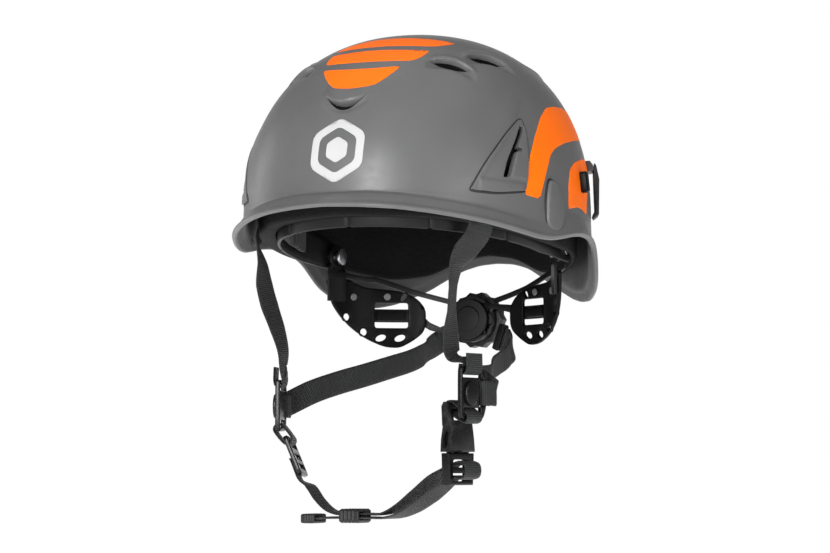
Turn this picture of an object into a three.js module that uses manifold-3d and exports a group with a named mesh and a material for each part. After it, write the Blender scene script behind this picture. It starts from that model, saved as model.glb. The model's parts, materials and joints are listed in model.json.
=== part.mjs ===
// Climbing helmet with chin harness and nape cradle. Millimetres, +Z up.
// The wearer faces -Y, the wearer's left is +X. The origin is the middle of
// the head opening, level with the base of the dome.
import * as THREE from "three";
import { mergeVertices } from "three/addons/utils/BufferGeometryUtils.js";
import Module from "manifold-3d";

const wasm = await Module();
wasm.setup();

// ---------------------------------------------------------------- dimensions
const DOME = { a: 102.3, front: 123.2, rear: 128.4, height: 115, n: 2.1, p: 2.21, q: 2.41, lean: 13.65, pitch: 2.77 };
const SHELL_T = 3;                 // shell wall
const BRIM_H = 9;                  // height of the brim below its crease
const LINER_GAP = 3.7;             // dome surface to liner
const WEB_W = 14.5;                // harness webbing
const WEB_T = 1.3;
const CRADLE = { a: 84, b: 72, yc: 10, t: 2.4 };   // plan ellipse of the nape cradle
const PIVOT = { y: 41, z: -17, r: 3 };             // cradle tilt axis, along X
const HUB = { y: 83.6, z: -57, r: 15 };            // middle of the rack plane
const PINION = { teeth: 10, module: 1 };
const RIM = [[0, -4.2], [10, -5], [20, -6.2], [30, -8.3], [40, -10.8], [50, -13.3], [60, -16.5], [68, -18.8],
  [74, -18.9], [80, -17], [86, -14.5], [92, -13], [98, -13.5], [103, -16], [107.5, -21], [111, -28], [114.5, -35],
  [121, -42], [130, -46.5], [138, -46], [144, -43.5], [150, -39], [156, -34], [162, -27], [168, -20.5], [174, -17], [180, -16]];
const LINER_BASE = [[0, -8], [40, -10], [70, -15], [95, -21], [115, -23], [140, -29], [155, -26], [168, -16], [180, -13]];
const LINER_IN = [[0, 20], [75, 20], [97, 12.5], [150, 12.5], [180, 15]];

// ------------------------------------------------------------------- helpers
const D2R = Math.PI / 180;
const V = (x, y, z) => new THREE.Vector3(x, y, z);
const group = new THREE.Group();

function table(tab, d) {
  d = Math.abs(((d + 180) % 360 + 360) % 360 - 180);
  for (let i = 1; i < tab.length; i++) if (d <= tab[i][0]) {
    const [a, va] = tab[i - 1], [b, vb] = tab[i];
    return va + (vb - va) * (d - a) / (b - a);
  }
  return tab[tab.length - 1][1];
}
const spow = (v, e) => Math.sign(v) * Math.pow(Math.abs(v), e);
function dome(deg, t) {
  const f = deg * D2R, th = t * Math.PI / 2, c = Math.cos(f), s = Math.sin(f);
  const z = DOME.height * Math.pow(Math.sin(th), 2 / DOME.p), r = Math.pow(Math.max(0, Math.cos(th)), 2 / DOME.q);
  const b = c > 0 ? DOME.front : DOME.rear;
  const x = DOME.a * spow(s, 2 / DOME.n) * r;
  const y = -b * spow(c, 2 / DOME.n) * r + DOME.lean * (z / DOME.height) ** 2;
  const P = DOME.pitch * D2R;
  return V(x, y * Math.cos(P) + z * Math.sin(P), -y * Math.sin(P) + z * Math.cos(P));
}
function domeNormal(deg, t) {
  const e = 0.4, h = 0.004, t0 = Math.max(0.002, Math.min(0.985, t));
  const du = dome(deg + e, t0).sub(dome(deg - e, t0)), dt = dome(deg, t0 + h).sub(dome(deg, t0 - h));
  return du.cross(dt).normalize();
}
const domeAt = (deg, t, off) => dome(deg, t).addScaledVector(domeNormal(deg, t), off);
function planAt(deg, off, z) {
  const c = Math.cos(deg * D2R), s = Math.sin(deg * D2R), b = c > 0 ? DOME.front : DOME.rear;
  const x = DOME.a * spow(s, 2 / DOME.n), y = -b * spow(c, 2 / DOME.n);
  const nx = x / DOME.a ** 2, ny = y / b ** 2, L = Math.hypot(nx, ny);
  return V(x + off * nx / L, y + off * ny / L, z);
}
const flare = deg => { const d = Math.abs(((deg + 180) % 360 + 360) % 360 - 180); return 4.2 + 9.8 * Math.exp(-((d / 42) ** 2)); };

// closed surface through a list of sections with the same number of points
function loft(sections, { closed = false, poles = null } = {}) {
  const n = sections[0].length, pos = [], idx = [];
  for (const s of sections) for (const p of s) pos.push(p.x, p.y, p.z);
  const m = sections.length;
  const quad = (i, j) => {
    for (let k = 0; k < n; k++) {
      const a = i * n + k, b = i * n + (k + 1) % n, c = j * n + (k + 1) % n, d = j * n + k;
      idx.push(a, b, c, a, c, d);
    }
  };
  for (let i = 0; i + 1 < m; i++) quad(i, i + 1);
  if (closed) quad(m - 1, 0);
  else if (poles) {
    const a = m * n, b = a + 1;
    pos.push(poles[0].x, poles[0].y, poles[0].z, poles[1].x, poles[1].y, poles[1].z);
    for (let k = 0; k < n; k++) {
      idx.push(a, (k + 1) % n, k);
      idx.push(b, (m - 1) * n + k, (m - 1) * n + (k + 1) % n);
    }
  } else {
    for (let k = 1; k + 1 < n; k++) {
      idx.push(0, k + 1, k);
      idx.push((m - 1) * n, (m - 1) * n + k, (m - 1) * n + k + 1);
    }
  }
  let vol = 0;
  const P = i => V(pos[3 * i], pos[3 * i + 1], pos[3 * i + 2]);
  for (let i = 0; i < idx.length; i += 3) vol += P(idx[i]).dot(P(idx[i + 1]).cross(P(idx[i + 2])));
  if (vol < 0) for (let i = 0; i < idx.length; i += 3) [idx[i + 1], idx[i + 2]] = [idx[i + 2], idx[i + 1]];
  const g = new THREE.BufferGeometry();
  g.setAttribute("position", new THREE.Float32BufferAttribute(pos, 3));
  g.setIndex(idx);
  return g;
}
function solid(geometry) {
  let g = geometry.clone();
  g.deleteAttribute("normal");
  g.deleteAttribute("uv");
  g = mergeVertices(g, 1e-4);
  return new wasm.Manifold(new wasm.Mesh({ numProp: 3, vertProperties: new Float32Array(g.attributes.position.array), triVerts: new Uint32Array(g.index.array) }));
}
function geometry(m) {
  const mesh = m.getMesh(), g = new THREE.BufferGeometry(), p = mesh.vertProperties, k = mesh.numProp;
  const pos = new Float32Array(p.length / k * 3);
  for (let i = 0; i < p.length / k; i++) for (let j = 0; j < 3; j++) pos[3 * i + j] = p[k * i + j];
  g.setAttribute("position", new THREE.BufferAttribute(pos, 3));
  g.setIndex(new THREE.BufferAttribute(new Uint32Array(mesh.triVerts), 1));
  return g;
}
const basis = (o, ex, ey, ez) => new THREE.Matrix4().makeBasis(ex, ey, ez).setPosition(o);
// outline (with holes) extruded by +-depth/2 along ez
function plate(outline, depth, o, ex, ey, holes = [], bevel = 0) {
  const s = new THREE.Shape(outline.map(p => new THREE.Vector2(p[0], p[1])));
  for (const h of holes) s.holes.push(new THREE.Path(h.map(p => new THREE.Vector2(p[0], p[1]))));
  const g = new THREE.ExtrudeGeometry(s, { depth: depth - 2 * bevel, bevelEnabled: bevel > 0, bevelThickness: bevel, bevelSize: bevel, bevelOffset: -bevel, bevelSegments: 1, steps: 1 });
  g.translate(0, 0, -depth / 2 + bevel);
  g.applyMatrix4(basis(o, ex, ey, ex.clone().cross(ey).normalize()));
  return solid(g);
}
function oval(cx, cy, rx, ry, n = 12, turn = 0) {
  const out = [];
  for (let i = 0; i < n; i++) {
    const a = i / n * 2 * Math.PI, x = rx * Math.cos(a), y = ry * Math.sin(a);
    out.push([cx + x * Math.cos(turn) - y * Math.sin(turn), cy + x * Math.sin(turn) + y * Math.cos(turn)]);
  }
  return out;
}
function rounded(x0, y0, x1, y1, r, n = 3) {
  const out = [], c = [[x1 - r, y1 - r, 0], [x0 + r, y1 - r, 90], [x0 + r, y0 + r, 180], [x1 - r, y0 + r, 270]];
  for (const [cx, cy, a0] of c) for (let i = 0; i <= n; i++) {
    const a = (a0 + 90 * i / n) * D2R;
    out.push([cx + r * Math.cos(a), cy + r * Math.sin(a)]);
  }
  return out;
}
function cyl(o, axis, r, l, seg = 20, r2 = r) {
  const g = new THREE.CylinderGeometry(r2, r, l, seg);
  g.applyQuaternion(new THREE.Quaternion().setFromUnitVectors(V(0, 1, 0), axis.clone().normalize()));
  g.translate(o.x, o.y, o.z);
  return solid(g);
}
function box(x0, y0, z0, x1, y1, z1) {
  const g = new THREE.BoxGeometry(x1 - x0, y1 - y0, z1 - z0);
  g.translate((x0 + x1) / 2, (y0 + y1) / 2, (z0 + z1) / 2);
  return solid(g);
}
// flat webbing along a route: points [x, y, z, wx, wy, wz], w = width direction
function webbing(route, { width = WEB_W, thick = WEB_T, steps = 30, closed = false, exact = false } = {}) {
  const pts = route.map(r => V(r[0], r[1], r[2])), ws = route.map(r => V(r[3], r[4], r[5]).normalize());
  const curve = new THREE.CatmullRomCurve3(pts, closed, "centripetal");
  const secs = [], m = exact ? (closed ? pts.length : pts.length - 1) : steps, last = closed ? m - 1 : m;
  const nseg = closed ? pts.length : pts.length - 1;
  for (let i = 0; i <= last; i++) {
    const u = i / m, p = curve.getPoint(u), t = curve.getTangent(u);
    const f = u * nseg, k = Math.min(Math.floor(f), nseg - 1), w = ws[k].clone().lerp(ws[(k + 1) % ws.length], f - k);
    w.addScaledVector(t, -w.dot(t)).normalize();
    const n = t.clone().cross(w).normalize();
    const c = (a, b) => p.clone().addScaledVector(w, a * width / 2).addScaledVector(n, b * thick / 2);
    secs.push([c(-1, -1), c(1, -1), c(1, 1), c(-1, 1)]);
  }
  return loft(secs, { closed });
}
const STEEL = { roughness: 0.35, metalness: 0.9 };
const PAINTS = {
  shell: { color: 0x5b5c5e, roughness: 0.42, metalness: 0 },
  foam: { color: 0x17181a, roughness: 0.95, metalness: 0 },
  black: { color: 0x141416, roughness: 0.55, metalness: 0 },
  grey: { color: 0x4c4d50, roughness: 0.6, metalness: 0 },
  web: { color: 0x2c2d2f, roughness: 0.9, metalness: 0 },
  pad: { color: 0x1b1c1e, roughness: 0.95, metalness: 0 },
  rubber: { color: 0x121214, roughness: 0.8, metalness: 0 },
  pin: { color: 0x8a8c90, ...STEEL },
};
function add(name, shape, paint) {
  const g = shape.isBufferGeometry ? shape : geometry(shape);
  g.computeVertexNormals();
  const mesh = new THREE.Mesh(g, new THREE.MeshStandardMaterial(PAINTS[paint]));
  mesh.name = name;
  group.add(mesh);
}
const mirrorX = g => {
  const h = g.clone(), p = h.attributes.position;
  for (let i = 0; i < p.count; i++) p.setX(i, -p.getX(i));
  const ix = h.index.array;
  for (let i = 0; i < ix.length; i += 3) [ix[i + 1], ix[i + 2]] = [ix[i + 2], ix[i + 1]];
  return h;
};
function addPair(name, shape, paint) {
  const g = shape.isBufferGeometry ? shape : geometry(shape);
  add(name + "_left", g, paint);
  add(name + "_right", mirrorX(g), paint);
}
const X = V(1, 0, 0), Y = V(0, 1, 0), Z = V(0, 0, 1);

// --------------------------------------------------------------- outer shell
const NPHI = 44;
const phis = [];
for (let i = 0; i < NPHI; i++) phis.push(i * 360 / NPHI);
const T_OUT = [0.96, 0.86, 0.74, 0.61, 0.48, 0.35, 0.23, 0.12, 0.04];
const T_IN = T_OUT.filter(t => t > 0.1);
function skirt(d, inner) {
  // points from the dome base down to the rim, outside or inside face
  const base = dome(d, 0), rim = table(RIM, d), fl = flare(d), k = inner ? -SHELL_T : 0;
  const crease = Math.min(base.z - 2, rim + BRIM_H);
  return [
    [k, base.z + 0.2], [k + fl * 0.12, (base.z * 2 + crease) / 3 - 0.6], [k + fl * 0.34, crease],
    [k + fl * 0.72, rim + 4], [k + fl, rim + (inner ? 0.2 : 0.5)],
  ].map(([o, z]) => { const p = planAt(d, o, z); p.y += z * Math.sin(DOME.pitch * D2R); return p; });
}
function shellSolid() {
  const rings = T_OUT.map(t => phis.map(d => domeAt(d, t, 0)));
  const so = phis.map(d => skirt(d, false)), si = phis.map(d => skirt(d, true));
  for (let k = 0; k < 5; k++) rings.push(so.map(s => s[k]));
  for (let k = 4; k >= 1; k--) rings.push(si.map(s => s[k]));
  for (const t of [...T_IN].reverse()) rings.push(phis.map(d => domeAt(d, t, -SHELL_T)));
  return solid(loft(rings, { poles: [domeAt(0, 1, 0).setX(0), domeAt(0, 1, 0).setX(0).add(V(0, 0, -SHELL_T))] }));
}
// frame on the dome: origin, right-hand tangent, up-slope tangent, normal
function domeFrame(d, t, off = 0) {
  const n = domeNormal(d, t), o = domeAt(d, t, off);
  const up = Z.clone().addScaledVector(n, -n.z).normalize(), right = up.clone().cross(n).normalize();
  return { o, right, up, n };
}
const leaf = (l, h, bulge) => {
  const out = [], n = 7;
  for (let i = 0; i <= n; i++) { const u = -1 + 2 * i / n; out.push([l * u, h * (1 - u * u) - bulge]); }
  for (let i = n - 1; i > 0; i--) { const u = -1 + 2 * i / n; out.push([l * u, -h * 0.25 * (1 - u * u) - bulge]); }
  return out;
};
const VENTS = [
  { d: 38, t: 0.49, l: 13, h: 4.2, turn: 18 },
  { d: 57, t: 0.56, l: 15, h: 4.2, turn: 8 },
];
function ventCut(v, sgn, grow) {
  const f = domeFrame(sgn * v.d, v.t);
  const a = sgn * v.turn * D2R, ex = f.right.clone().multiplyScalar(Math.cos(a)).addScaledVector(f.up, -Math.sin(a));
  const ey = f.n.clone().cross(ex).normalize();
  return plate(leaf(v.l + grow, v.h + grow, 1.4).reverse(), 90, f.o.clone().addScaledVector(f.n, -20), ex, ey);
}
// everything inside the shell's outer face plus 0.4 mm: trims pieces that sit on the shell
const overShell = solid(loft([...T_OUT.map(t => phis.map(d => domeAt(d, t, 0.4))),
  ...[0, 1, 2, 3, 4].map(k => phis.map(d => { const q = skirt(d, false)[k], c = planAt(d, 0.45, 0).sub(planAt(d, 0, 0)); return q.add(c); }))],
  { poles: [domeAt(0, 1, 0.4).setX(0), V(0, 0, -40)] }));
const cuts = [];
for (const s of [-1, 1]) for (const v of VENTS) cuts.push([v, s]);
// accessory socket pocket and lamp clip gap are kept on the surface, so the shell stays whole there
let shell = shellSolid();
for (const [v, s] of cuts) shell = shell.subtract(ventCut(v, s, 0));
const fv = domeFrame(0, 0.3);
shell = shell.subtract(plate(leaf(13, 2.6, 1).map(p => [p[0], -p[1]]), 30, fv.o, fv.right, fv.up));
// long slots under the accessory sockets
const insertFrame = sgn => domeFrame(sgn * 60, 0.1);
const slotCut = sgn => { const f = insertFrame(sgn); return plate(rounded(-2.2, -9, 2.2, 15, 2.1, 2), 12, f.o, f.right, f.up); };
for (const s of [-1, 1]) shell = shell.subtract(slotCut(s));
add("outer_shell", shell, "shell");

// -------------------------------------------------------------- impact liner
const T_LIN = T_IN;
const linerRing = f => phis.map(f);
const linerRings = [];
for (const t of T_LIN) linerRings.push(linerRing(d => domeAt(d, t, -LINER_GAP)));
linerRings.push(linerRing(d => planAt(d, -8.6, 4)));
linerRings.push(linerRing(d => planAt(d, -9.4, table(LINER_BASE, d))));
linerRings.push(linerRing(d => planAt(d, -table(LINER_IN, d), table(LINER_BASE, d))));
linerRings.push(linerRing(d => planAt(d, -table(LINER_IN, d), 12)));
for (const t of [...T_LIN].reverse()) if (t > 0.3) linerRings.push(linerRing(d => domeAt(d, t, -LINER_GAP - 19)));
let liner = solid(loft(linerRings, { poles: [domeAt(0, 1, 0).setX(0).add(V(0, 0, -LINER_GAP)), domeAt(0, 1, 0).setX(0).add(V(0, 0, -LINER_GAP - 19))] }));
for (const [v, s] of cuts) liner = liner.subtract(ventCut(v, s, 1.5));
add("impact_liner", liner, "foam");

// --------------------------------------------------- headband and inner pads
function strip(list) {               // list of [deg or point, outOff, inOff, zLow, zHigh]
  return loft(list.map(([d, o, i, z0, z1]) => [planAt(d, -o, z0), planAt(d, -i, z0), planAt(d, -i, z1), planAt(d, -o, z1)]));
}
const bandSecs = [];
const bandSec = (po, pi, z0, z1) => [V(po.x, po.y, z0), V(pi.x, pi.y, z0), V(pi.x, pi.y, z1), V(po.x, po.y, z1)];
for (let i = 0; i <= 30; i++) {
  const d = -90 + 6 * i, k = Math.abs(d) / 90, zc = -2.5 - 9.5 * k * k;
  bandSecs.push(bandSec(planAt(d, -20.8, 0), planAt(d, -22.8, 0), zc - 11.5, zc + 11));
}
for (const s of [-1, 1]) {
  const ends = [[14, -13.5, 10.5], [28, -15.3, 9.5], [48, -17, 8.5]].map(([y, zc, h]) => {
    const xo = 82.2 - 0.35 * y / 48;
    return bandSec(V(s * xo, y, 0), V(s * (xo - 2), y, 0), zc - h, zc + h);
  });
  if (s < 0) bandSecs.unshift(...ends.reverse()); else bandSecs.push(...ends);
}
let headband = solid(loft(bandSecs));
for (const s of [-1, 1]) headband = headband.subtract(cyl(V(s * 80, PIVOT.y, PIVOT.z), X, PIVOT.r + 0.35, 12, 20));
add("headband", headband, "black");
const padArc = (d0, d1, n, o, i, z0, z1) => {
  const l = [];
  for (let k = 0; k <= n; k++) { const d = d0 + (d1 - d0) * k / n, q = Math.abs(d) / 90, zc = -9.5 * q * q; l.push([d, o, i, z0 + zc, z1 + zc]); }
  return strip(l);
};
add("forehead_pad", padArc(-48, 48, 16, 23.3, 28.5, -13, 7), "pad");
addPair("temple_pad", padArc(56, 88, 6, 23.3, 27.5, -10, 6), "pad");
// crown pad: a soft strip from front to back under the liner
{
  const secs = [];
  for (let k = 0; k <= 12; k++) {
    const u = -1 + k / 6, d = u < 0 ? 0 : 180, t = 1 - Math.abs(u) * 0.45;
    const p = t > 0.985 ? dome(0, 1).setX(0) : dome(d, t), n = t > 0.985 ? Z.clone() : domeNormal(d, t);
    const h = (w, o) => V(w, p.y + n.y * o, p.z + n.z * o);
    secs.push([h(-16, -26.6), h(16, -26.6), h(16, -31), h(-16, -31)]);
  }
  add("crown_pad", loft(secs), "pad");
}

// ------------------------------------------- accessory sockets, visor bosses
{
  const f = insertFrame(1);
  const tri = [[-19, -16], [14, -16.5], [17, -13], [15, 4], [8, 22], [5.5, 24], [2.5, 23], [-19.5, -12.5]];
  const b = plate(tri, 3.4, f.o.clone().addScaledVector(f.n, 3.4), f.right, f.up, [rounded(-1.9, -8, 1.9, 14, 1.8, 2)], 0.7);
  // curved underside: the part of the plate that lies clear of the shell
  const slab = plate(tri.map(([x, y]) => [x, y]), 14, f.o.clone().addScaledVector(f.n, -2.5), f.right, f.up, [rounded(-1.9, -8, 1.9, 14, 1.8, 2)]);
  const over = overShell;
  const g = geometry(b.add(slab).subtract(over));
  addPair("accessory_socket", g, "shell");
  const v = domeFrame(79, 0.03);
  const boss = plate([[-8.5, -13], [-4, -17], [2.5, -15.5], [8, -4.5], [6.8, 6], [1, 14.5], [-4.5, 15.5], [-7.5, 5]], 9, v.o.clone().addScaledVector(v.n, -0.6), v.right, v.up, [], 0.8);
  addPair("visor_boss", geometry(boss.subtract(over)), "grey");
  const c = domeFrame(97, 0.1);
  addPair("side_catch", geometry(plate(rounded(-3.2, -6.5, 3.2, 6.5, 1.5, 2), 9, c.o, c.right, c.up, [], 0.8).subtract(over)), "black");
}

// ------------------------------------------------------------ rear lamp clips
{
  const f = domeFrame(117, 0.1);
  const pt = (u, v) => [u, v];
  // base block with an ear, and the sprung finger that a lamp strap slips behind
  const over = overShell;
  const side = f.right.clone(), sec = [[-6, 20], [1.4, 20], [3.2, 17], [3.2, 13.5], [-6, 13.5]].map(([n, u]) => pt(n, u));
  const baseBlock = plate(sec.map(([n, u]) => [n, u]), 20, f.o, f.n, f.up).subtract(over);
  addPair("lamp_clip_base", geometry(baseBlock), "black");
  const finger = plate([[5.2, 17.2], [3.9, 18.4], [3.6, 16], [3.6, 12.2], [5, -12], [3.4, -14.6], [4.6, -16.6], [7.6, -14], [7.4, 8]], 18, f.o, f.n, f.up);
  addPair("lamp_clip", geometry(finger), "black");
}

// ------------------------------------------------------ front strap anchors
const FRONT_L = [
  [71.3, -82, 2, .614, .789, 0], [71.3, -82, -2, .614, .789, 0], [71.3, -82, -5.6, .614, .789, 0], [74.4, -80, -11.5, .8, .6, .05], [71.5, -77.4, -18.5, .88, .46, -.1], [63, -75, -27.5, .7, .62, -.35],
  [56.3, -73, -37, .1, .99, -.05], [53.2, -71, -48, -.1, .99, 0], [51.4, -69, -62, -.08, .99, 0], [50, -67, -76, .25, .96, 0], [51, -65.4, -88, .3, .95, 0]];
const FRONT_R = [
  [-71.3, -82, 2, -.614, .789, 0], [-71.3, -82, -2, -.614, .789, 0], [-71.3, -82, -5.6, -.614, .789, 0], [-74, -78.6, -14, -.55, .83, 0], [-73, -75.8, -21, -.35, .93, 0], [-71.3, -73.5, -30, -.1, .99, 0], [-70.6, -71.5, -43, .25, .96, .1],
  [-67.8, -70, -56, .32, .94, .1], [-63.2, -68.3, -70, .2, .97, .05], [-60.3, -66.6, -83, 0, 1, 0], [-60.4, -65.3, -94, -.2, .97, 0]];
{
  const f = { o: V(71.3, -82, 0), w: V(.614, .789, 0).normalize() };
  const n = f.w.clone().cross(Z).normalize();
  const blk = plate(rounded(-9.1, -3.6, 9.1, 4.4, 1, 1), 3.9, f.o, f.w, Z)
    .subtract(plate([[-8, -8], [8, -8], [8, 2.2], [-8, 2.2]], WEB_T + 0.9, f.o, f.w, Z));
  addPair("strap_anchor", geometry(blk), "black");
}

// ------------------------------------------------------------------ dividers
// local axes: w along the plate (mostly rearwards), z up, n outwards
const DIV = {
  left: { o: V(60.5, -62, -110), w: V(.287, .958, 0), n: V(.958, -.287, 0) },
  right: { o: V(-64, -62, -116), w: V(-.287, .958, 0), n: V(-.958, -.287, 0) },
};
const at = (f, w, z, n) => f.o.clone().addScaledVector(f.w, w).addScaledVector(Z, z).addScaledVector(f.n, n);
for (const k of ["left", "right"]) {
  const f = DIV[k];
  const outline = [[-9.6, 15.5], [8.4, 15.5], [11.5, 13.5], [13, 9], [13, -7.5], [11, -13], [9, -15.5], [-9, -15.5], [-10.6, -13], [-10.6, 13]];
  const top = rounded(-8.6, 9, 8.2, 12.6, 0.4, 1), bottom = rounded(-8, -12.9, 8, -8.7, 0.4, 1), rear = rounded(6.2, -7.7, 10.2, 8, 0.4, 1);
  const flip = l => k === "left" ? l : l.map(p => [-p[0], p[1]]).reverse(), ex = k === "left" ? f.w : f.w.clone().negate();
  let body = plate(flip(outline), 3, f.o, ex, Z);
  for (const h of [top, bottom, rear]) body = body.subtract(plate(flip(h), 9, f.o, ex, Z));
  const pad = plate(oval(k === "left" ? -2 : 2, -0.4, 5.8, 7.4, 14), 2.2, at(f, 0, 0, 2.55), k === "left" ? f.w : f.w.clone().negate(), Z);
  add("divider_" + k, body.add(pad), "black");
}
// a strap end folded round a bar: c bar centre, away = the way the strap leaves, n = side of the long layer
function fold(c, away, n, w, rn, ra, back) {
  const P = (a, b) => { const p = c.clone().addScaledVector(away, a).addScaledVector(n, b); return [p.x, p.y, p.z, w.x, w.y, w.z]; };
  return [P(4, rn), P(0.6, rn), P(-ra * 0.72, rn * 0.72), P(-ra, 0), P(-ra * 0.72, -rn * 0.72), P(0.6, -rn), P(back * 0.5, -rn), P(back, -rn * 0.95)];
}
const RN = 2.85, RA = 2.9;
{
  const L = DIV.left, R = DIV.right, inward = L.n.clone().negate(), inwardR = R.n.clone().negate();
  add("front_strap_left", webbing([...FRONT_L, ...fold(at(L, -0.2, 14.1, 0), Z, inward, L.w, RN, RA, 9)], { steps: 30 }), "web");
  add("front_strap_right", webbing([...FRONT_R, ...fold(at(R, -0.2, 14.1, 0), Z, inwardR, R.w, RN, RA, 9)], { steps: 30 }), "web");
}

// --------------------------------------------------------------- nape straps
const NAPE_R = [[-60, -28, -107, 0, .25, .97], [-52, -6, -100.5, 0, .22, .97], [-44.5, 14, -95.5, 0, .25, .97], [-37.5, 42, -89, 0, .2, .98], [-33.5, 62, -84.5, .05, .2, .98],
  [-30.8, 74, -80.5, .1, .25, .97], [-29, 83.2, -76, .25, .2, .95], [-24.4, 87.5, -71.4, .38, .1, .92], [-20.4, 88.6, -69.7, .38, .1, .92], [-16.4, 89.7, -68, .38, .1, .92]];
const NAPE_L = [[58, -30, -103, 0, .25, .97], [50, -6, -98, 0, .22, .97], [43, 14, -93, 0, .25, .97], [36.5, 42, -88, 0, .2, .98], [33, 62, -84, -.05, .2, .98],
  [30.8, 74, -80.5, -.1, .25, .97], [29, 83.2, -76, -.25, .2, .95], [24.4, 87.5, -71.4, -.38, .1, .92], [20.4, 88.6, -69.7, -.38, .1, .92], [16.4, 89.7, -68, -.38, .1, .92]];
function napeRoute(list, f) {
  // starts folded round the divider's rear bar; the strap's width is upright there
  const away = f.w.clone(), c = at(f, 11.6, 0.15, 0);
  const head = fold(c, away.clone().negate(), f.n, Z.clone(), RN, RA, 7).map(p => p);
  // the long layer leaves rearwards outside of the bar
  const P = (a, b) => { const p = c.clone().addScaledVector(away, a).addScaledVector(f.n, b); return [p.x, p.y, p.z, 0, 0, 1]; };
  const start = [P(9, -2.2), P(4, -RN), P(-0.4, -RN), P(-RA * 0.72, -RN * 0.72), P(-RA, 0), P(-RA * 0.72, RN * 0.72), P(-0.4, RN), P(6, RN), P(14, 1.6)];
  return [...start, ...list];
}
add("nape_strap_right", webbing(napeRoute(NAPE_R, DIV.right), { steps: 36 }), "web");
add("nape_strap_left", webbing(napeRoute(NAPE_L, DIV.left), { steps: 36 }), "web");

// -------------------------------------------------------------- nape cradle
function cradleAt(deg, off, z) {
  const s = Math.sin(deg * D2R), c = Math.cos(deg * D2R);
  const x = CRADLE.a * s, y = CRADLE.b * c, nx = x / CRADLE.a ** 2, ny = y / CRADLE.b ** 2, L = Math.hypot(nx, ny);
  return V(x + off * nx / L, CRADLE.yc + y + off * ny / L, z);
}
function slab(d0, d1, n, o0, o1, z0, z1) {
  const s = [];
  for (let i = 0; i <= n; i++) { const d = d0 + (d1 - d0) * i / n; s.push([cradleAt(d, o0, z0), cradleAt(d, o1, z0), cradleAt(d, o1, z1), cradleAt(d, o0, z1)]); }
  return solid(loft(s));
}
const cupFrame = d => {
  const o = cradleAt(d, 0, 0), a = cradleAt(d + 0.5, 0, 0).sub(cradleAt(d - 0.5, 0, 0)).normalize();
  return { o, right: a.clone(), up: Z, n: a.clone().cross(Z).normalize() };
};
const cf = cupFrame(44);
const uv = (d, z) => { const p = cradleAt(d, 1.2, z); return [p.sub(cf.o).dot(cf.right), z]; };
const cupPrism = pts => plate(pts, 60, cf.o, cf.right, Z);
const cupOutline = [[71.5, -31], [69.5, -40], [67, -48], [62.4, -55.5], [56.1, -63], [48.2, -70], [39.3, -75], [32.3, -75.5], [26.5, -71], [22, -66], [20.5, -61],
  [20.5, -50], [24, -43.5], [30, -38.8], [39, -37.2], [49, -36.3], [55, -33], [58, -31]].map(p => uv(...p));
const hole = (d, z, rx, ry, turn = 0, n = 10) => { const [u, v] = uv(d, z); return oval(u, v, rx, ry, n, turn); };
{
  let cup = slab(18, 73, 14, 0, CRADLE.t, -79, -30).intersect(cupPrism(cupOutline));
  const [ua, va] = uv(44.2, -62.4), [ub, vb] = uv(28.6, -46);
  for (const h of [rounded(Math.min(ua, ub), va, Math.max(ua, ub), vb, 1.5, 2), hole(30.5, -42.2, 1.3, 3.2, -0.6), hole(58.9, -55.8, 2.3, 2.3), hole(49.8, -65.3, 2.3, 2.3),
    hole(41.3, -69, 3.6, 2, 0.35), hole(32.3, -69, 3.6, 2, 0.35)]) cup = cup.subtract(cupPrism(h));
  addPair("nape_cup", geometry(cup), "black");
  // grey studs on the inner face
  let k = 1;
  for (const [d, z] of [[55.6, -42.7], [38.4, -42.1]]) {
    const f = cupFrame(d), o = cradleAt(d, -1.0, z);
    addPair("cup_stud_" + k++, geometry(cyl(o, f.n, 2.3, 1.2, 12)), "grey");
  }
  // side arms: hung on the pivots, lapping the inside of the cups
  const eye = plate(oval(0, 0, 8.2, 8.2, 16), 1.9, V(77.2, PIVOT.y, PIVOT.z), Y, Z);
  const link = solid(loft([[[76.4, 35, -19], [78, 35, -19], [78, 46, -19], [76.4, 46, -19]].map(p => V(...p)),
    [cradleAt(71.5, -2.5, -27), cradleAt(71.5, -0.5, -27), cradleAt(60.5, -0.5, -27), cradleAt(60.5, -2.5, -27)],
    [cradleAt(71.5, -2.5, -31), cradleAt(71.5, -0.5, -31), cradleAt(60.5, -0.5, -31), cradleAt(60.5, -2.5, -31)]]));
  const arm = slab(60.5, 71.5, 4, -2.5, -0.5, -46, -30.6).add(eye).add(link).subtract(cyl(V(77, PIVOT.y, PIVOT.z), X, PIVOT.r + 0.4, 14, 16));
  addPair("cradle_arm", geometry(arm), "black");
  // upper thin bands from the arms to the hub
  const bands = [];
  for (let i = 0; i <= 12; i++) {
    const u = i / 12, d = 60 - 50 * u, zc = -27.4 - 4.4 * Math.min(1, u / 0.22) + 1.4 * Math.sin(Math.PI * Math.min(1, u * 1.5)) - 13.5 * Math.max(0, u - 0.35) / 0.65;
    bands.push([cradleAt(d, 5.4, zc - 1.8), cradleAt(d, 7, zc - 1.8), cradleAt(d, 7, zc + 1.8), cradleAt(d, 5.4, zc + 1.8)]);
  }
  addPair("upper_band", loft(bands), "black");
  // pivot pins with an inner head and an outer flange
  const pin = cyl(V(77.4, PIVOT.y, PIVOT.z), X, PIVOT.r, 10.4, 16).add(cyl(V(72.8, PIVOT.y, PIVOT.z), X, 5.6, 1.8, 16)).add(cyl(V(82.6, PIVOT.y, PIVOT.z), X, 4.2, 0.9, 16));
  addPair("pivot_pin", geometry(pin), "pin");
}

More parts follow.
